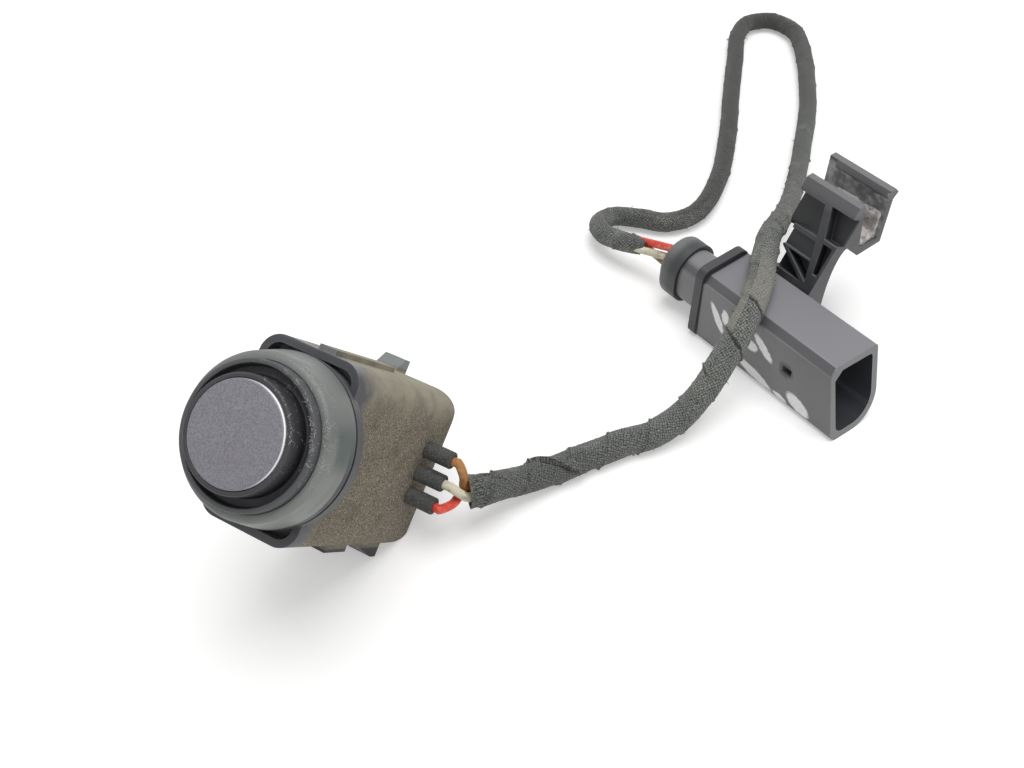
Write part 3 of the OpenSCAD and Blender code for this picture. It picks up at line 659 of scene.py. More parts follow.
NUMBER, TRIPLE, TINT = "NodeSocketFloat", "NodeSocketVector", "NodeSocketColor"
moulded_skin, given, gives = new_group(
    "moulded_skin",
    [("Place", TRIPLE, (0, 0, 0)), ("Grain", NUMBER, 6.0), ("Edge", NUMBER, 0.0004)],
    [("Tone", NUMBER), ("Wear", NUMBER), ("Height", NUMBER)],
)
wide = speckle(moulded_skin, given["Place"], 0.12, 5.0)
fine = speckle(moulded_skin, given["Place"], given["Grain"], 3.0)
tone = plus(moulded_skin, times(moulded_skin, wide, 0.7), times(moulded_skin, fine, 0.3))
moulded_skin.links.new(ramp(moulded_skin, tone, 0.32, 0.68), gives["Tone"])
soft_normal = add(moulded_skin, "Bevel", {"Radius": given["Edge"]}, samples=4).outputs[0]
true_normal = add(moulded_skin, "NewGeometry").outputs["Normal"]
corner = ramp(moulded_skin, facing(moulded_skin, soft_normal, true_normal), 0.985, 0.86)
rubbed = ramp(moulded_skin, speckle(moulded_skin, given["Place"], 0.8, 5.0, 0.7), 0.35, 0.65, 0.25, 1.0)
moulded_skin.links.new(times(moulded_skin, corner, rubbed), gives["Wear"])
moulded_skin.links.new(fine, gives["Height"])

dust_grains, given, gives = new_group(
    "dust_grains",
    [("Place", TRIPLE, (0, 0, 0)), ("Cover", NUMBER, 0.5), ("Size", NUMBER, 4.0)],
    [("Mask", NUMBER), ("Colour", TINT), ("Height", NUMBER)],
)
feeds = {"Vector": given["Place"], "Scale": 2.0, "Detail": 2.0}
bent = add(dust_grains, "TexNoise", feeds).outputs["Color"]
bent = vectors(dust_grains, "ADD", given["Place"], scaled(dust_grains, bent, 0.5))
cells = add(dust_grains, "TexVoronoi", {"Vector": bent, "Scale": given["Size"]}).outputs
luck = add(dust_grains, "SeparateColor", {0: cells["Color"]}).outputs
there = ramp(dust_grains, sums(dust_grains, "SUBTRACT", given["Cover"], luck[0]), -0.02, 0.04)
grain = ramp(dust_grains, cells["Distance"], 0.62, 0.3)
mask = times(dust_grains, there, grain)
tan_or_brown = mixed(dust_grains, luck[1], shade(88, 68, 52), shade(158, 138, 112))
pale_grain = ramp(dust_grains, luck[2], 0.86, 0.9)
dust_grains.links.new(mask, gives["Mask"])
dust_grains.links.new(mixed(dust_grains, pale_grain, tan_or_brown, shade(206, 196, 178)), gives["Colour"])
dust_grains.links.new(mask, gives["Height"])


def skin_on(tree, place, grain, edge):
    """The moulded skin's tone, wear and height on one material."""
    feeds = {"Place": place, "Grain": grain, "Edge": edge * MM}
    return add(tree, "Group", feeds, node_tree=moulded_skin).outputs


def dust_on(tree, place, cover, size):
    """Grains of dust, so many to the millimetre, where the cover lets them lie."""
    feeds = {"Place": place, "Cover": cover, "Size": size}
    return add(tree, "Group", feeds, node_tree=dust_grains).outputs


HOLE_R = 7.65
NOSE_R = 8.4
NOSE_FRONT = 0.3
GROOVE_R = 9.85
GROOVE_FLOOR = 4.4
LIP_R = 10.65
LIP_FRONT = 2.7
RING_BACK = 9.2
RING_SEAT = 8.65
LEAD_HOLE_R = 6.05
ring = turned_piece("decoupling_ring_rubber", [
    (HOLE_R, NOSE_FRONT, 0.2), (NOSE_R, NOSE_FRONT, 0.28), (NOSE_R, GROOVE_FLOOR, 0.3),
    (GROOVE_R, GROOVE_FLOOR, 0.3), (GROOVE_R, LIP_FRONT, 0.25), (LIP_R, LIP_FRONT, 0.28),
    (LIP_R, RING_BACK, 0.1), (LEAD_HOLE_R, RING_BACK, 0.1), (LEAD_HOLE_R, RING_SEAT, 0.1),
    (HOLE_R, RING_SEAT, 0.1),
], [sensor_place])
soft_rubber, tree, shader, place = new_material("soft_rubber", 0.5)
local = sensor_mm(tree)
skin = skin_on(tree, place, 3.0, 0.25)
spot = split(tree, local)
reach = off_axis(tree, spot)
colour = mixed(tree, skin["Tone"], shade(44, 44, 49), shade(60, 60, 64))
on_lip = ramp(tree, reach, GROOVE_R - 0.15, GROOVE_R + 0.15)
colour = mixed(tree, on_lip, colour, shade(78, 79, 82))
inside_lip = ramp(tree, reach, GROOVE_R + 0.15, GROOVE_R - 0.15)
# Painted shade: the groove between the nose and the lip is painted dark, where shade falls in it.
groove_shade = times(tree, inside_lip, ramp(tree, spot[1], 2.2, 3.6))
colour = mixed(tree, times(tree, groove_shade, 0.7), colour, shade(28, 28, 31))
colour = mixed(tree, times(tree, skin["Wear"], 0.6), colour, shade(124, 125, 128))
upper_right = plus(tree, spot[0], times(tree, spot[2], 0.8))
patches = ramp(tree, speckle(tree, place, 0.6, 4.0), 0.48, 0.66)
lint_zone = times(tree, ramp(tree, upper_right, 3.0, 11.0), patches)
lint = dust_on(tree, place, plus(tree, times(tree, lint_zone, 0.34), 0.003), 7.5)
colour = mixed(tree, lint["Mask"], colour, shade(168, 168, 162))
feed(shader, "Base Color", colour)
feed(shader, "Roughness", ramp(tree, skin["Tone"], 0.0, 1.0, 0.42, 0.6))
bump(tree, shader, plus(tree, skin["Height"], lint["Height"]), 0.03, 0.5)
dress(ring, soft_rubber, "soft_rubber", "decoupling_ring")


# The front collar: a turned-looking moulding in black plastic that clips the cup and its
# ring to the housing. Its rounded shoulder seals against the bumper, and fine dust dulls it.
# It is painted lighter at its lower right and on top as painted light, and dark in the gap at
# its back as painted shadow.
COLLAR_HOLE_R = 10.7
COLLAR_SEAT = 9.25
COLLAR_FRONT = 4.4
SHOULDER_STEP = 10.95
SHOULDER_R = 12.05
SHOULDER_LEN = 0.8
SKIRT_R = 12.9
SKIRT_EDGE = 0.25
SKIRT_BACK = 10.5
SPIGOT_R = 6.9
SPIGOT_HOLE_R = 5.6
SPIGOT_BACK = 14.3
DAMP_Z = 3.0
DAMP_RIGHT = (9.5, 11.5)
DAMP_BACK = (5.6, 7.0)
GAP_SHADOW_DEPTH = (9.1, 9.5)
collar_profile = [(COLLAR_HOLE_R, COLLAR_SEAT, 0.05), (COLLAR_HOLE_R, COLLAR_FRONT, 0.1)]
collar_profile += [
    (
        SHOULDER_STEP + (SHOULDER_R - SHOULDER_STEP) * sin(radians(a)),
        COLLAR_FRONT + SHOULDER_LEN * (1 - cos(radians(a))),
        0,
    )
    for a in range(0, 91, 10)
]
collar_profile += [
    (SKIRT_R, SKIRT_BACK - SKIRT_EDGE, 0.1), (SKIRT_R - SKIRT_EDGE, SKIRT_BACK, 0.1),
    (SPIGOT_R, SKIRT_BACK, 0.1), (SPIGOT_R, SPIGOT_BACK, 0.2),
    (SPIGOT_HOLE_R, SPIGOT_BACK, 0.2), (SPIGOT_HOLE_R, COLLAR_SEAT, 0.1),
]
collar = turned_piece("front_collar_moulding", collar_profile, [sensor_place])
collar_plastic, tree, shader, place = new_material("collar_plastic", 0.45)
local = sensor_mm(tree)
skin = skin_on(tree, place, 4.0, 0.3)
spot = split(tree, local)
colour = mixed(tree, skin["Tone"], shade(92, 94, 94), shade(108, 110, 109))
lower_right = sums(tree, "SUBTRACT", spot[0], spot[2])
# Painted light: the collar is painted lighter towards its lower right, where light thrown up from the white
# table falls, and towards its top, where the overhead lamp falls.
colour = mixed(tree, ramp(tree, lower_right, 4.0, 15.0), colour, shade(130, 133, 129))
colour = mixed(tree, ramp(tree, spot[2], 3.0, 11.0, 0.0, 0.7), colour, shade(130, 132, 130))
smear = speckle(tree, vectors(tree, "MULTIPLY", local, (1, 3, 1)), 0.3, 5.0)
colour = mixed(tree, ramp(tree, smear, 0.45, 0.75, 0.0, 0.4), colour, shade(128, 130, 126))
off_damp = sums(tree, "ABSOLUTE", sums(tree, "SUBTRACT", spot[2], DAMP_Z))
damp = times(tree, ramp(tree, spot[0], *DAMP_RIGHT), ramp(tree, off_damp, 4.5, 1.0))
damp = times(tree, damp, ramp(tree, spot[1], *DAMP_BACK))
colour = mixed(tree, times(tree, damp, 0.85), colour, shade(70, 82, 78))
colour = mixed(tree, times(tree, skin["Wear"], 0.5), colour, shade(148, 150, 146))
# Painted shadow: a dark band on the collar's back edge at its lower right, where shadow falls in the gap to
# the housing's rim.
gap_shadow = times(tree, ramp(tree, spot[1], *GAP_SHADOW_DEPTH), ramp(tree, lower_right, 6.0, 14.0))
colour = mixed(tree, times(tree, gap_shadow, 0.9), colour, shade(26, 27, 28))
upper_right = plus(tree, spot[0], times(tree, spot[2], 0.7))
patches = ramp(tree, speckle(tree, place, 0.5, 4.0), 0.45, 0.62)
patches = times(tree, patches, ramp(tree, spot[1], 7.0, 5.0))
lint_zone = times(tree, ramp(tree, upper_right, 3.0, 12.0), patches)
lint = dust_on(tree, place, plus(tree, times(tree, lint_zone, 0.34), 0.004), 7.5)
colour = mixed(tree, lint["Mask"], colour, shade(178, 178, 170))
feed(shader, "Base Color", colour)
feed(shader, "Roughness", ramp(tree, smear, 0.4, 0.7, 0.38, 0.58))
bump(tree, shader, plus(tree, skin["Height"], lint["Height"]), 0.03, 0.5)
dress(collar, collar_plastic, "black_plastic", "front_collar")


# Lint: short pale fibres of cloth and road fluff, caught on the nose and the lip of the
# ring and on the collar's shoulder, mostly at their upper right. They cling to the rubber.
LINT_BANDS = [(8.2, 0.36, 0.15, 10), (10.25, 2.72, 0.3, 34), (11.35, 4.47, 0.35, 44)]
LINT_D = 0.08
LINT_LENGTH = (0.25, 0.8)
LINT_CLOCK = (38, 24)
bm = bmesh.new()
for band, depth, spread, count in LINT_BANDS:
    for _ in range(count):
        clock = radians(draw.gauss(*LINT_CLOCK))
        reach = band + draw.uniform(-spread, spread)
        lean = Vector((draw.uniform(-1, 1), draw.uniform(-0.4, 0.0), draw.uniform(-1, 1))).normalized()
        length = draw.uniform(*LINT_LENGTH) * MM
        middle = on_sensor(reach * cos(clock), depth, reach * sin(clock))
        fibre(bm, middle, sensor_place.to_3x3() @ lean, length, LINT_D / 2, LINT_D / 3)
lint_fibres = new_piece("lint_fibres", bm, 40)
fluff, tree, shader, place = new_material("fluff", 0.95, Sheen_Weight=0.3)
colour = mixed(tree, speckle(tree, place, 2.0), shade(138, 138, 134), shade(214, 213, 206))
feed(shader, "Base Color", colour)
dress(lint_fibres, fluff, "dusty_plastic")


# The sensor housing: a narrow moulded box of black plastic with a round seat for the collar,
# a square rim, rounded back edges and latch lugs. Road dust cakes its right side and top.
# The recess inside its rim and the faces turned to its top are painted lighter, as painted light.
def joined_solid(node):
    """A CAD solid's facets, merged and dissolved into its flat and curved faces."""
    bm = bmesh.new()
    bm.from_mesh(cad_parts[node].data)
    bmesh.ops.remove_doubles(bm, verts=bm.verts, dist=2e-6)
    bmesh.ops.dissolve_limit(bm, angle_limit=radians(0.8), verts=bm.verts, edges=bm.edges)
    return bm


def moulded_copy(name, node, edge, sharp_angle=28, segments=3):
    """A copy of a solid with its facets joined and its edges rounded, to stand for it."""
    bm = joined_solid(node)
    cramped = {v for e in bm.edges if e.calc_length() < 2.2 * edge * MM for v in e.verts}
    sharp = [e for e in bm.edges if e.is_manifold and e.calc_face_angle() > radians(sharp_angle)]
    bmesh.ops.bevel(
        bm, geom=[e for e in sharp if not cramped.intersection(e.verts)], offset=edge * MM, affect="EDGES",
        segments=segments, profile=0.5, material=-1, clamp_overlap=True,
    )
    piece = new_piece(name, bm, 40)
    level = piece.modifiers.new("level_faces", "WEIGHTED_NORMAL")
    level.keep_sharp = True
    return piece


RECESS_DEPTH = (11.9, 12.4)
DUST_START = (16.5, 21.0)
RIGHT_SIDE = (5.0, 8.0)
TOP_SIDE = (11.0, 14.0)
LUG_RISE = (14.3, 14.9)
LUG_BACK = (40.5, 42.5)
housing = moulded_copy("sensor_housing_moulding", "sensor_housing", 0.22)
dusty_plastic, tree, shader, place = new_material("dusty_plastic", 0.62)
local = sensor_mm(tree)
spot = split(tree, local)
skin = skin_on(tree, place, 4.0, 0.35)
colour = mixed(tree, skin["Tone"], shade(56, 57, 61), shade(74, 75, 79))
normal = add(tree, "NewGeometry").outputs["True Normal"]
front = tuple(sensor_place.to_3x3() @ Vector((0, -1, 0)))
top = tuple(sensor_place.to_3x3() @ UP)
to_front = facing(tree, normal, front)
top_light = facing(tree, normal, top)
# Painted light: the front-facing floor of the recess inside the rim is painted pale, to lift the shade that
# falls in it.
painted_light_recess = times(tree, ramp(tree, to_front, 0.6, 0.9), ramp(tree, spot[1], *RECESS_DEPTH))
colour = mixed(tree, painted_light_recess, colour, shade(112, 112, 116))
# Painted light: faces turned to the sensor's top are painted lighter, where the overhead lamp falls.
colour = mixed(tree, ramp(tree, top_light, 0.5, 0.9, 0.0, 0.7), colour, shade(122, 122, 124))
colour = mixed(tree, times(tree, skin["Wear"], 0.4), colour, shade(126, 128, 126))
ragged = times(tree, speckle(tree, place, 0.35, 4.0), 7.0)
behind_rim = ramp(tree, plus(tree, spot[1], ragged), *DUST_START)
on_right = ramp(tree, spot[0], *RIGHT_SIDE)
on_top = ramp(tree, spot[2], *TOP_SIDE)
dusty_sides = sums(tree, "MAXIMUM", sums(tree, "MAXIMUM", on_right, on_top), 0.28)
film = times(tree, behind_rim, dusty_sides)
film = times(tree, film, ramp(tree, speckle(tree, place, 0.22, 5.0), 0.3, 0.62, 0.6, 0.95))
clean_lug = times(tree, ramp(tree, spot[2], *LUG_RISE), ramp(tree, spot[1], *LUG_BACK))
film = times(tree, film, sums(tree, "SUBTRACT", 1.0, clean_lug))
colour = mixed(tree, film, colour, shade(162, 156, 136))
colour = mixed(tree, clean_lug, colour, shade(126, 132, 130))
below_top = ramp(tree, plus(tree, spot[2], times(tree, ragged, 0.6)), 14.5, 9.5)
caked = times(tree, times(tree, behind_rim, on_right), below_top)
crumbs = speckle(tree, place, 3.9, 3.0, 0.8)
crumb_tone = mixed(tree, ramp(tree, crumbs, 0.38, 0.64), shade(54, 47, 42), shade(158, 151, 133))
colour = mixed(tree, times(tree, caked, 0.85), colour, crumb_tone)
patchy = ramp(tree, speckle(tree, place, 0.28, 4.0), 0.3, 0.7, 0.2, 0.6)
brown = ramp(tree, speckle(tree, place, 0.2, 5.0, 0.65), 0.46, 0.66, 0.0, 0.5)
brown = times(tree, caked, brown)
colour = mixed(tree, brown, colour, shade(78, 67, 59))
grains = dust_on(tree, place, times(tree, caked, patchy), 4.6)
colour = mixed(tree, times(tree, grains["Mask"], 0.7), colour, grains["Colour"])
lower_lugs = ramp(tree, spot[2], *(-z for z in LUG_RISE))
colour = mixed(tree, times(tree, lower_lugs, 0.9), colour, shade(50, 50, 53))
feed(shader, "Base Color", colour)
feed(shader, "Roughness", ramp(tree, film, 0.0, 0.7, 0.48, 0.95))
rough_dust = times(tree, caked, crumbs)
bump(tree, shader, plus(tree, rough_dust, times(tree, skin["Height"], 0.3)), 0.08, 0.8)
dress(housing, dusty_plastic, "dusty_plastic", "sensor_housing")


# The electronics behind the collar: a small driver board with its transformer, chip and
# capacitors, the piezo disc with its damping plug and leads, and three brass terminals.
def dress_node(node, material):
    """Gives a solid that stays as it is a material of its own."""
    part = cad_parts[node]
    part.data.materials.clear()
    part.data.materials.append(material)


def inner_finish(name, dark, light, scale, rough, metal=0.0, depth=0.02):
    """A plain working material: mottled between two tones, with a fine surface."""
    material, tree, shader, place = new_material(name, rough, Metallic=metal)
    mottle = speckle(tree, place, scale, 5.0)
    feed(shader, "Base Color", mixed(tree, ramp(tree, mottle, 0.35, 0.65), dark, light))
    feed(shader, "Roughness", ramp(tree, mottle, 0.3, 0.7, rough - 0.08, rough + 0.08))
    bump(tree, shader, mottle, depth, 0.5)
    return material


solder_mask, tree, shader, place = new_material("solder_mask", 0.35)
local = sensor_mm(tree)
tracks = add(tree, "TexBrick", {"Vector": local, "Scale": 0.5, "Mortar Size": 0.03}).outputs["Fac"]
colour = mixed(tree, tracks, shade(24, 84, 52), shade(62, 128, 84))
feed(shader, "Base Color", colour)
feed(shader, "Roughness", ramp(tree, speckle(tree, place, 2.0), 0.3, 0.7, 0.28, 0.45))
bump(tree, shader, tracks, 0.03, 0.6)
dress_node("circuit_board", solder_mask)
ferrite = inner_finish("ferrite", shade(48, 44, 42), shade(78, 72, 68), 3.0, 0.7)
dress_node("transformer", ferrite)
chip_resin = inner_finish("chip_resin", shade(34, 34, 36), shade(56, 56, 58), 6.0, 0.6)
dress_node("signal_chip", chip_resin)
fired_ceramic = inner_finish("fired_ceramic", shade(168, 132, 92), shade(196, 164, 122), 2.0, 0.5)
dress_node("capacitors", fired_ceramic)
brass = inner_finish("brass", shade(176, 140, 66), shade(206, 174, 98), 1.5, 0.32, 1.0)
dress_node("piezo_disc", brass)
dress_node("wire_terminals", brass)
potting = inner_finish("damping_rubber", shade(108, 122, 108), shade(134, 148, 132), 1.2, 0.75)
dress_node("damping_plug", potting)
lead_coat = inner_finish("lead_insulation", shade(160, 36, 34), shade(190, 58, 52), 2.0, 0.45)
dress_node("piezo_leads", lead_coat)


# The wire sleeves: three short rubber tubes pushed through holes in the housing's right side,
# which keep water out where the wires leave. They are as dusty as the wall round them.
SLEEVE_HOLE_R = 0.875
SLEEVE_R = 1.5
SLEEVE_START = 6.35
STOP_R = 1.85
STOP_END = 7.45
pushed_in = Matrix.Rotation(-pi / 2, 4, "Z")
sleeves = turned_piece("wire_sleeve_rubber", [
    (SLEEVE_HOLE_R, SLEEVE_START, 0.05), (STOP_R, SLEEVE_START, 0.1), (STOP_R, STOP_END, 0.1),
    (SLEEVE_R, STOP_END, 0.05), (SLEEVE_R, SLEEVE_END, 0.3), (SLEEVE_HOLE_R, SLEEVE_END, 0.1),
], [
    sensor_place @ Matrix.Translation(Vector((0, WIRE_Y, k * WIRE_PITCH)) * MM) @ pushed_in
    for k in (-1, 0, 1)
], steps=48)
sleeve_rubber, tree, shader, place = new_material("sleeve_rubber", 0.7)
skin = skin_on(tree, place, 3.0, 0.2)
local = sensor_mm(tree)
spot = split(tree, local)
colour = mixed(tree, skin["Tone"], shade(44, 46, 47), shade(72, 75, 75))
dirt = dust_on(tree, place, ramp(tree, spot[0], SLEEVE_END, 8.8, 0.12, 0.6), 4.2)
colour = mixed(tree, dirt["Mask"], colour, shade(104, 97, 84))
colour = mixed(tree, times(tree, skin["Wear"], 0.5), colour, shade(110, 112, 110))
feed(shader, "Base Color", colour)
bump(tree, shader, plus(tree, skin["Height"], dirt["Height"]), 0.04, 0.6)
dress(sleeves, sleeve_rubber, "soft_rubber", "wire_sleeves")


# The plug: a one-piece moulding in satin black plastic, with a deep socket, a flange and a
# neck for the cap. Its rubbed edges shine and a few dabs of white paint mark its near side.
# Its top is painted lighter as painted light, and its chamfer, flange and socket darker as
# painted shade.
PLUG_H = 16.0
FLANGE_SPAN = (-35.9, -35.65, -33.6, -33.3)
SOCKET_START = (-17.6, -17.0)
NEAR_SIDE = (-5.85, -6.05)
SCUFF_AT = (-11.2, -6.1, 8.7)
plug = moulded_copy("plug_moulding", "plug_housing", 0.25)
satin_plastic, tree, shader, place = new_material("satin_plastic", 0.42)
skin = skin_on(tree, place, 5.0, 0.4)
colour = mixed(tree, skin["Tone"], shade(116, 117, 117), shade(131, 132, 132))
colour = mixed(tree, times(tree, skin["Wear"], 0.5), colour, shade(158, 158, 161))
on_plug = vectors(tree, "SUBTRACT", place, PLUG_AT)
spot = split(tree, on_plug)
faces = split(tree, add(tree, "NewGeometry").outputs["True Normal"])
# Painted light: faces turned upwards are painted lighter, where the overhead lamp falls.
colour = mixed(tree, ramp(tree, faces[2], 0.8, 0.95), colour, shade(134, 133, 138))
# Painted shade: the chamfer between the top and the near side is painted dark, standing in for its shade.
chamfer_shade = times(tree, ramp(tree, faces[1], -0.5, -0.64), ramp(tree, faces[2], 0.5, 0.64))
colour = mixed(tree, times(tree, chamfer_shade, 0.8), colour, shade(78, 78, 81))
# Painted shade: the flange's faces are painted dark, where shade falls beside the plug's body.
flange_shade = between(tree, spot[0], *FLANGE_SPAN)
colour = mixed(tree, times(tree, flange_shade, 0.9), colour, shade(46, 47, 51))
below_middle = sums(tree, "SUBTRACT", PLUG_H / 2, spot[2])
turned_in = sums(tree, "SUBTRACT", times(tree, faces[2], below_middle), times(tree, faces[1], spot[1]))
# Painted shade: the inside of the socket is painted dark and its gloss dulled, where shade falls in it.
socket_shade = times(tree, ramp(tree, turned_in, 0.3, 1.2), ramp(tree, spot[0], *SOCKET_START))
socket_shade = times(tree, socket_shade, ramp(tree, sums(tree, "ABSOLUTE", faces[0]), 0.85, 0.6))
colour = mixed(tree, socket_shade, colour, shade(62, 63, 68))
scuff = add(tree, "VectorMath", {0: on_plug, 1: SCUFF_AT}, operation="DISTANCE").outputs["Value"]
scuff = plus(tree, scuff, times(tree, speckle(tree, place, 0.9), 1.6))
scuffed = ramp(tree, scuff, 3.0, 1.9)
colour = mixed(tree, times(tree, scuffed, 0.75), colour, shade(52, 54, 52))
near_side = ramp(tree, spot[1], *NEAR_SIDE)
shaded = times(tree, near_side, ramp(tree, spot[0], -14.0, -3.0, 0.0, 0.45))
colour = mixed(tree, shaded, colour, shade(98, 99, 98))
dabbed = wavered(tree, on_plug, place, 0.9, 3.0, 0.7)
ANY_DEPTH = 1e6
PAINT_DABS = [
    ((-29.0, 8.9), (3.5, 0.9), -56), ((-27.1, 10.4), (1.7, 0.9), -80), ((-20.3, 8.4), (2.0, 1.25), 6),
    ((-17.2, 9.9), (3.2, 1.0), -40), ((-18.0, 2.3), (4.7, 1.15), -13), ((-11.2, 1.5), (1.8, 0.6), -8),
    ((-7.0, 2.8), (3.1, 1.5), -20),
]
paint = None
for (x, z), (long, short), slant in PAINT_DABS:
    feeds = {
        "Vector": dabbed,
        "Location": (x, 0, z),
        "Rotation": (0, radians(-slant), 0),
        "Scale": (long, ANY_DEPTH, short),
    }
    inside = add(tree, "Mapping", feeds, vector_type="TEXTURE").outputs[0]
    reach = add(tree, "VectorMath", {0: inside}, operation="LENGTH").outputs["Value"]
    dab = ramp(tree, reach, 1.15, 0.8)
    paint = dab if paint is None else sums(tree, "MAXIMUM", paint, dab)
paint = times(tree, paint, near_side)
thin = ramp(tree, speckle(tree, place, 1.2, 4.0), 0.25, 0.6, 0.85, 1.0)
colour = mixed(tree, times(tree, paint, thin), colour, shade(255, 255, 255))
feed(shader, "Base Color", colour)
feed(shader, "Roughness", ramp(tree, skin["Tone"], 0.0, 1.0, 0.36, 0.5))
feed(shader, "Specular IOR Level", ramp(tree, socket_shade, 0.0, 1.0, 0.5, 0.05))
bump(tree, shader, plus(tree, times(tree, skin["Height"], 0.5), paint), 0.03, 0.6)
dress(plug, satin_plastic, "satin_plastic", "plug_housing")


# Inside the plug: three tinned contact pins in the floor of the socket, the dark plate that
# locks them, and the ribbed rubber seal round the wires at the back.
tinned = inner_finish("tinned_contact", shade(150, 148, 142), shade(186, 184, 178), 2.0, 0.3, 1.0)
dress_node("contact_pins", tinned)
lock_resin = inner_finish("lock_plastic", shade(26, 27, 30), shade(40, 41, 45), 2.5, 0.5)
dress_node("terminal_lock", lock_resin)
seal_rubber = inner_finish("seal_rubber", shade(178, 74, 44), shade(198, 96, 60), 2.0, 0.7)
dress_node("wire_seal", seal_rubber)


# The rear cap: a black moulding that snaps over the plug's neck and holds the seal in.
# Its back edge is rounded, and three holes let the wires in. Its side is painted darker
# towards the front lip as painted shade, and its upward faces lighter as painted light.
def black_plastic(name, dark, light, wear_and_top_light, rough, edge, grain=5.0):
    """Plain black moulding plastic, with a mottled skin, rubbed edges and up-facing faces painted lighter
    as painted light.
    """
    material, tree, shader, place = new_material(name, rough)
    skin = skin_on(tree, place, grain, edge)
    colour = mixed(tree, skin["Tone"], dark, light)
    faces = split(tree, add(tree, "NewGeometry").outputs["Normal"])
    # Painted light: faces turned upwards are painted lighter, where the overhead lamp falls.
    colour = mixed(tree, ramp(tree, faces[2], 0.5, 0.95, 0.0, 0.6), colour, wear_and_top_light)
    colour = mixed(tree, times(tree, skin["Wear"], 0.6), colour, wear_and_top_light)
    roughness = ramp(tree, skin["Tone"], 0.0, 1.0, rough - 0.08, rough + 0.08)
    feed(shader, "Roughness", roughness)
    bump(tree, shader, skin["Height"], 0.02, 0.6)
    return material, tree, shader, place, colour


LIP_DEPTHS = (1.4, 3.6)
cap = moulded_copy("rear_cap_moulding", "rear_cap", 0.15)
cap_plastic, tree, shader, place, colour = black_plastic(
    "cap_plastic", shade(76, 79, 79), shade(96, 98, 98), shade(126, 128, 128), 0.42, 0.3
)
spot = split(tree, vectors(tree, "SUBTRACT", place, PLUG_AT))
# Painted shade: the cap's side is painted darker towards its front lip, by the neck.
lip_shade = ramp(tree, spot[0], *(CAP_BACK + depth for depth in LIP_DEPTHS), 0.0, 0.85)
feed(shader, "Base Color", mixed(tree, lip_shade, colour, shade(40, 42, 44)))
dress(cap, cap_plastic, "black_plastic", "rear_cap")


# The clip bracket: a ladder-shaped arm in black plastic that slides on a rail on the plug's
# far side. Its open channel clamps on a bracket of the car. Its top is painted lighter as
# painted light, and its pockets nearly black as painted shade.
FAR_WALL = 25.3
ARM_FOOT = (6.2, 13.6)
ARM_LEAN = radians(30.1)
ARM_END = -18.8
POCKET_DEPTH = (0.3, 1.2, 3.2, 3.6)
POCKET_TOP = (30.2, 29.8)
SMEAR_TOP = (32.4, 31.8)
clip = moulded_copy("mounting_clip_moulding", "mounting_clip", 0.14)
clip_plastic, tree, shader, place, colour = black_plastic(
    "clip_plastic", shade(42, 43, 47), shade(64, 65, 69), shade(124, 124, 125), 0.45, 0.3
)
spot = split(tree, vectors(tree, "SUBTRACT", place, PLUG_AT))
faces = split(tree, add(tree, "NewGeometry").outputs["Normal"])
out_of_arm = times(tree, sums(tree, "SUBTRACT", spot[1], ARM_FOOT[0]), cos(ARM_LEAN))
up_the_arm = times(tree, sums(tree, "SUBTRACT", spot[2], ARM_FOOT[1]), sin(ARM_LEAN))
sunk = sums(tree, "SUBTRACT", out_of_arm, up_the_arm)
# Painted shade: the pockets of the ladder arm are painted nearly black, where shade falls in them.
pocket_shade = between(tree, sunk, *POCKET_DEPTH)
pocket_shade = times(tree, pocket_shade, ramp(tree, spot[2], *POCKET_TOP))
pocket_shade = times(tree, pocket_shade, ramp(tree, spot[0], ARM_END - 0.3, ARM_END - 0.6))
# Painted light: the top of the arm is painted lighter, where the overhead lamp falls.
colour = mixed(tree, ramp(tree, spot[2], 27.0, 30.4, 0.0, 0.4), colour, shade(132, 132, 133))
colour = mixed(tree, times(tree, pocket_shade, 0.85), colour, shade(20, 21, 24))
ragged = times(tree, speckle(tree, place, 0.3, 3.0), 6.0)
turned_back = ramp(tree, faces[1], -0.6, -0.9)
far_wall = times(tree, turned_back, ramp(tree, spot[1], FAR_WALL - 0.6, FAR_WALL - 0.3))
smeared = times(tree, far_wall, ramp(tree, plus(tree, spot[2], ragged), *SMEAR_TOP))
smear_blots = ramp(tree, speckle(tree, place, 0.5, 4.0), 0.35, 0.65)
smear_tone = mixed(tree, smear_blots, shade(122, 122, 124), shade(186, 185, 184))
feed(shader, "Base Color", mixed(tree, smeared, colour, smear_tone))
dress(clip, clip_plastic, "black_plastic", "mounting_clip")


# Glue in the clamp channel: a smeared bed of pale hot glue, set in lumps and torn edges
# where the bracket was pulled off.
GLUE_MESH = 0.5
GLUE_LUMP = 0.22
bm = joined_solid("glue_residue")
bmesh.ops.triangulate(bm, faces=bm.faces)
for _ in range(5):
    long_edges = [e for e in bm.edges if e.calc_length() > GLUE_MESH * MM]
    bmesh.ops.subdivide_edges(bm, edges=long_edges, cuts=1, use_grid_fill=True)
    bmesh.ops.triangulate(bm, faces=bm.faces)
for _ in range(3):
    bmesh.ops.smooth_vert(
        bm, verts=bm.verts, factor=0.5, use_axis_x=True, use_axis_y=True, use_axis_z=True
    )
bm.normal_update()
for vert in bm.verts:
    lump = noise.fractal(vert.co / MM * 0.45, 1.0, 2.0, 4)
    vert.co += vert.normal * GLUE_LUMP * MM * lump
glue = new_piece("glue_smear", bm, 60)
set_glue, tree, shader, place = new_material(
    "set_glue", 0.4, Subsurface_Weight=0.15, Subsurface_Scale=0.0008
)
shader.inputs["Subsurface Radius"].default_value = (1.0, 0.9, 0.8)
blot = speckle(tree, place, 0.6, 5.0)
colour = mixed(tree, ramp(tree, blot, 0.35, 0.65), shade(150, 147, 145), shade(214, 209, 204))
specks = dust_on(tree, place, 0.1, 2.5)
colour = mixed(tree, times(tree, specks["Mask"], 0.8), colour, shade(84, 80, 76))
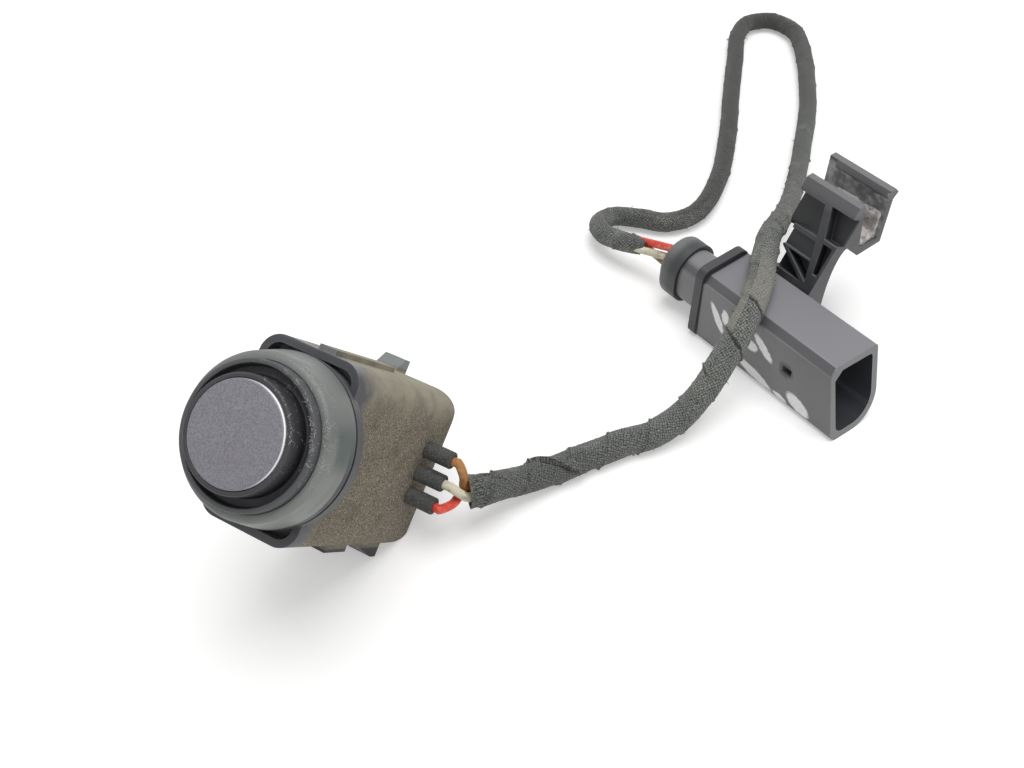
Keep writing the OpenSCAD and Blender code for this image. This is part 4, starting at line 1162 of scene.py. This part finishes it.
feed(shader, "Base Color", colour)
feed(shader, "Roughness", ramp(tree, blot, 0.3, 0.7, 0.28, 0.55))
bump(tree, shader, blot, 0.08, 0.5)
dress(glue, set_glue, "glue", "glue_residue")


# The table and the light: a plain white sheet under soft lamps, as in a small photo tent.
# The camera and reflections see plain white, and the sheet keeps the soft shadows.
def white_rays(tree):
    """A mask of the rays that are to see plain white: the camera's, and those of reflections and glass."""
    rays = add(tree, "LightPath").outputs
    mirrored = sums(tree, "MAXIMUM", rays["Is Glossy Ray"], rays["Is Transmission Ray"])
    return sums(tree, "MAXIMUM", rays["Is Camera Ray"], mirrored)


SHEET = (0.9, 0.9, 0.895, 1)
SHEET_HALF = 3.0
WHITE = (1, 1, 1, 1)
GLOW_REACH = (0.35, 1.2)
NEAR_GLOW = 0.32
TENT_LIGHT = 0.42
bm = bmesh.new()
bmesh.ops.create_grid(bm, x_segments=2, y_segments=2, size=SHEET_HALF)
table = new_piece("white_table", bm, 30)
white_sheet = bpy.data.materials.new("white_sheet")
white_sheet.use_nodes = True
tree = white_sheet.node_tree
tree.nodes.clear()
matt = add(tree, "BsdfDiffuse", {"Color": SHEET}).outputs[0]
spread = add(tree, "TexCoord").outputs["Object"]
away = add(tree, "VectorMath", {0: spread}, operation="LENGTH").outputs["Value"]
lift = times(tree, white_rays(tree), ramp(tree, away, *GLOW_REACH, NEAR_GLOW, 1.0))
glow = add(tree, "Emission", {"Color": WHITE, "Strength": lift}).outputs[0]
both = add(tree, "AddShader", {0: matt, 1: glow}).outputs[0]
add(tree, "OutputMaterial", {"Surface": both})
table.data.materials.append(white_sheet)

world = bpy.data.worlds.new("photo_tent")
scene.world = world
world.use_nodes = True
tree = world.node_tree
tree.nodes.clear()
strength = ramp(tree, white_rays(tree), 0.0, 1.0, TENT_LIGHT, 1.0)
sky = add(tree, "Background", {"Color": WHITE, "Strength": strength}).outputs[0]
add(tree, "OutputWorld", {"Surface": sky})

AIM = Vector((0.0, 0.06, 0.015))
SOFT_LAMPS = [
    ("overhead_lamp", (0.0, 0.1, 0.9), 0.6, 4.6),
    ("side_lamp", (0.75, 0.35, 0.45), 0.5, 0.7),
]
for name, at, size, watts in SOFT_LAMPS:
    lamp = bpy.data.lights.new(name, "AREA")
    lamp.size = size
    lamp.energy = watts
    holder = bpy.data.objects.new(name, lamp)
    holder.location = at
    holder.rotation_euler = (AIM - Vector(at)).to_track_quat("-Z", "Y").to_euler()
    scene.collection.objects.link(holder)
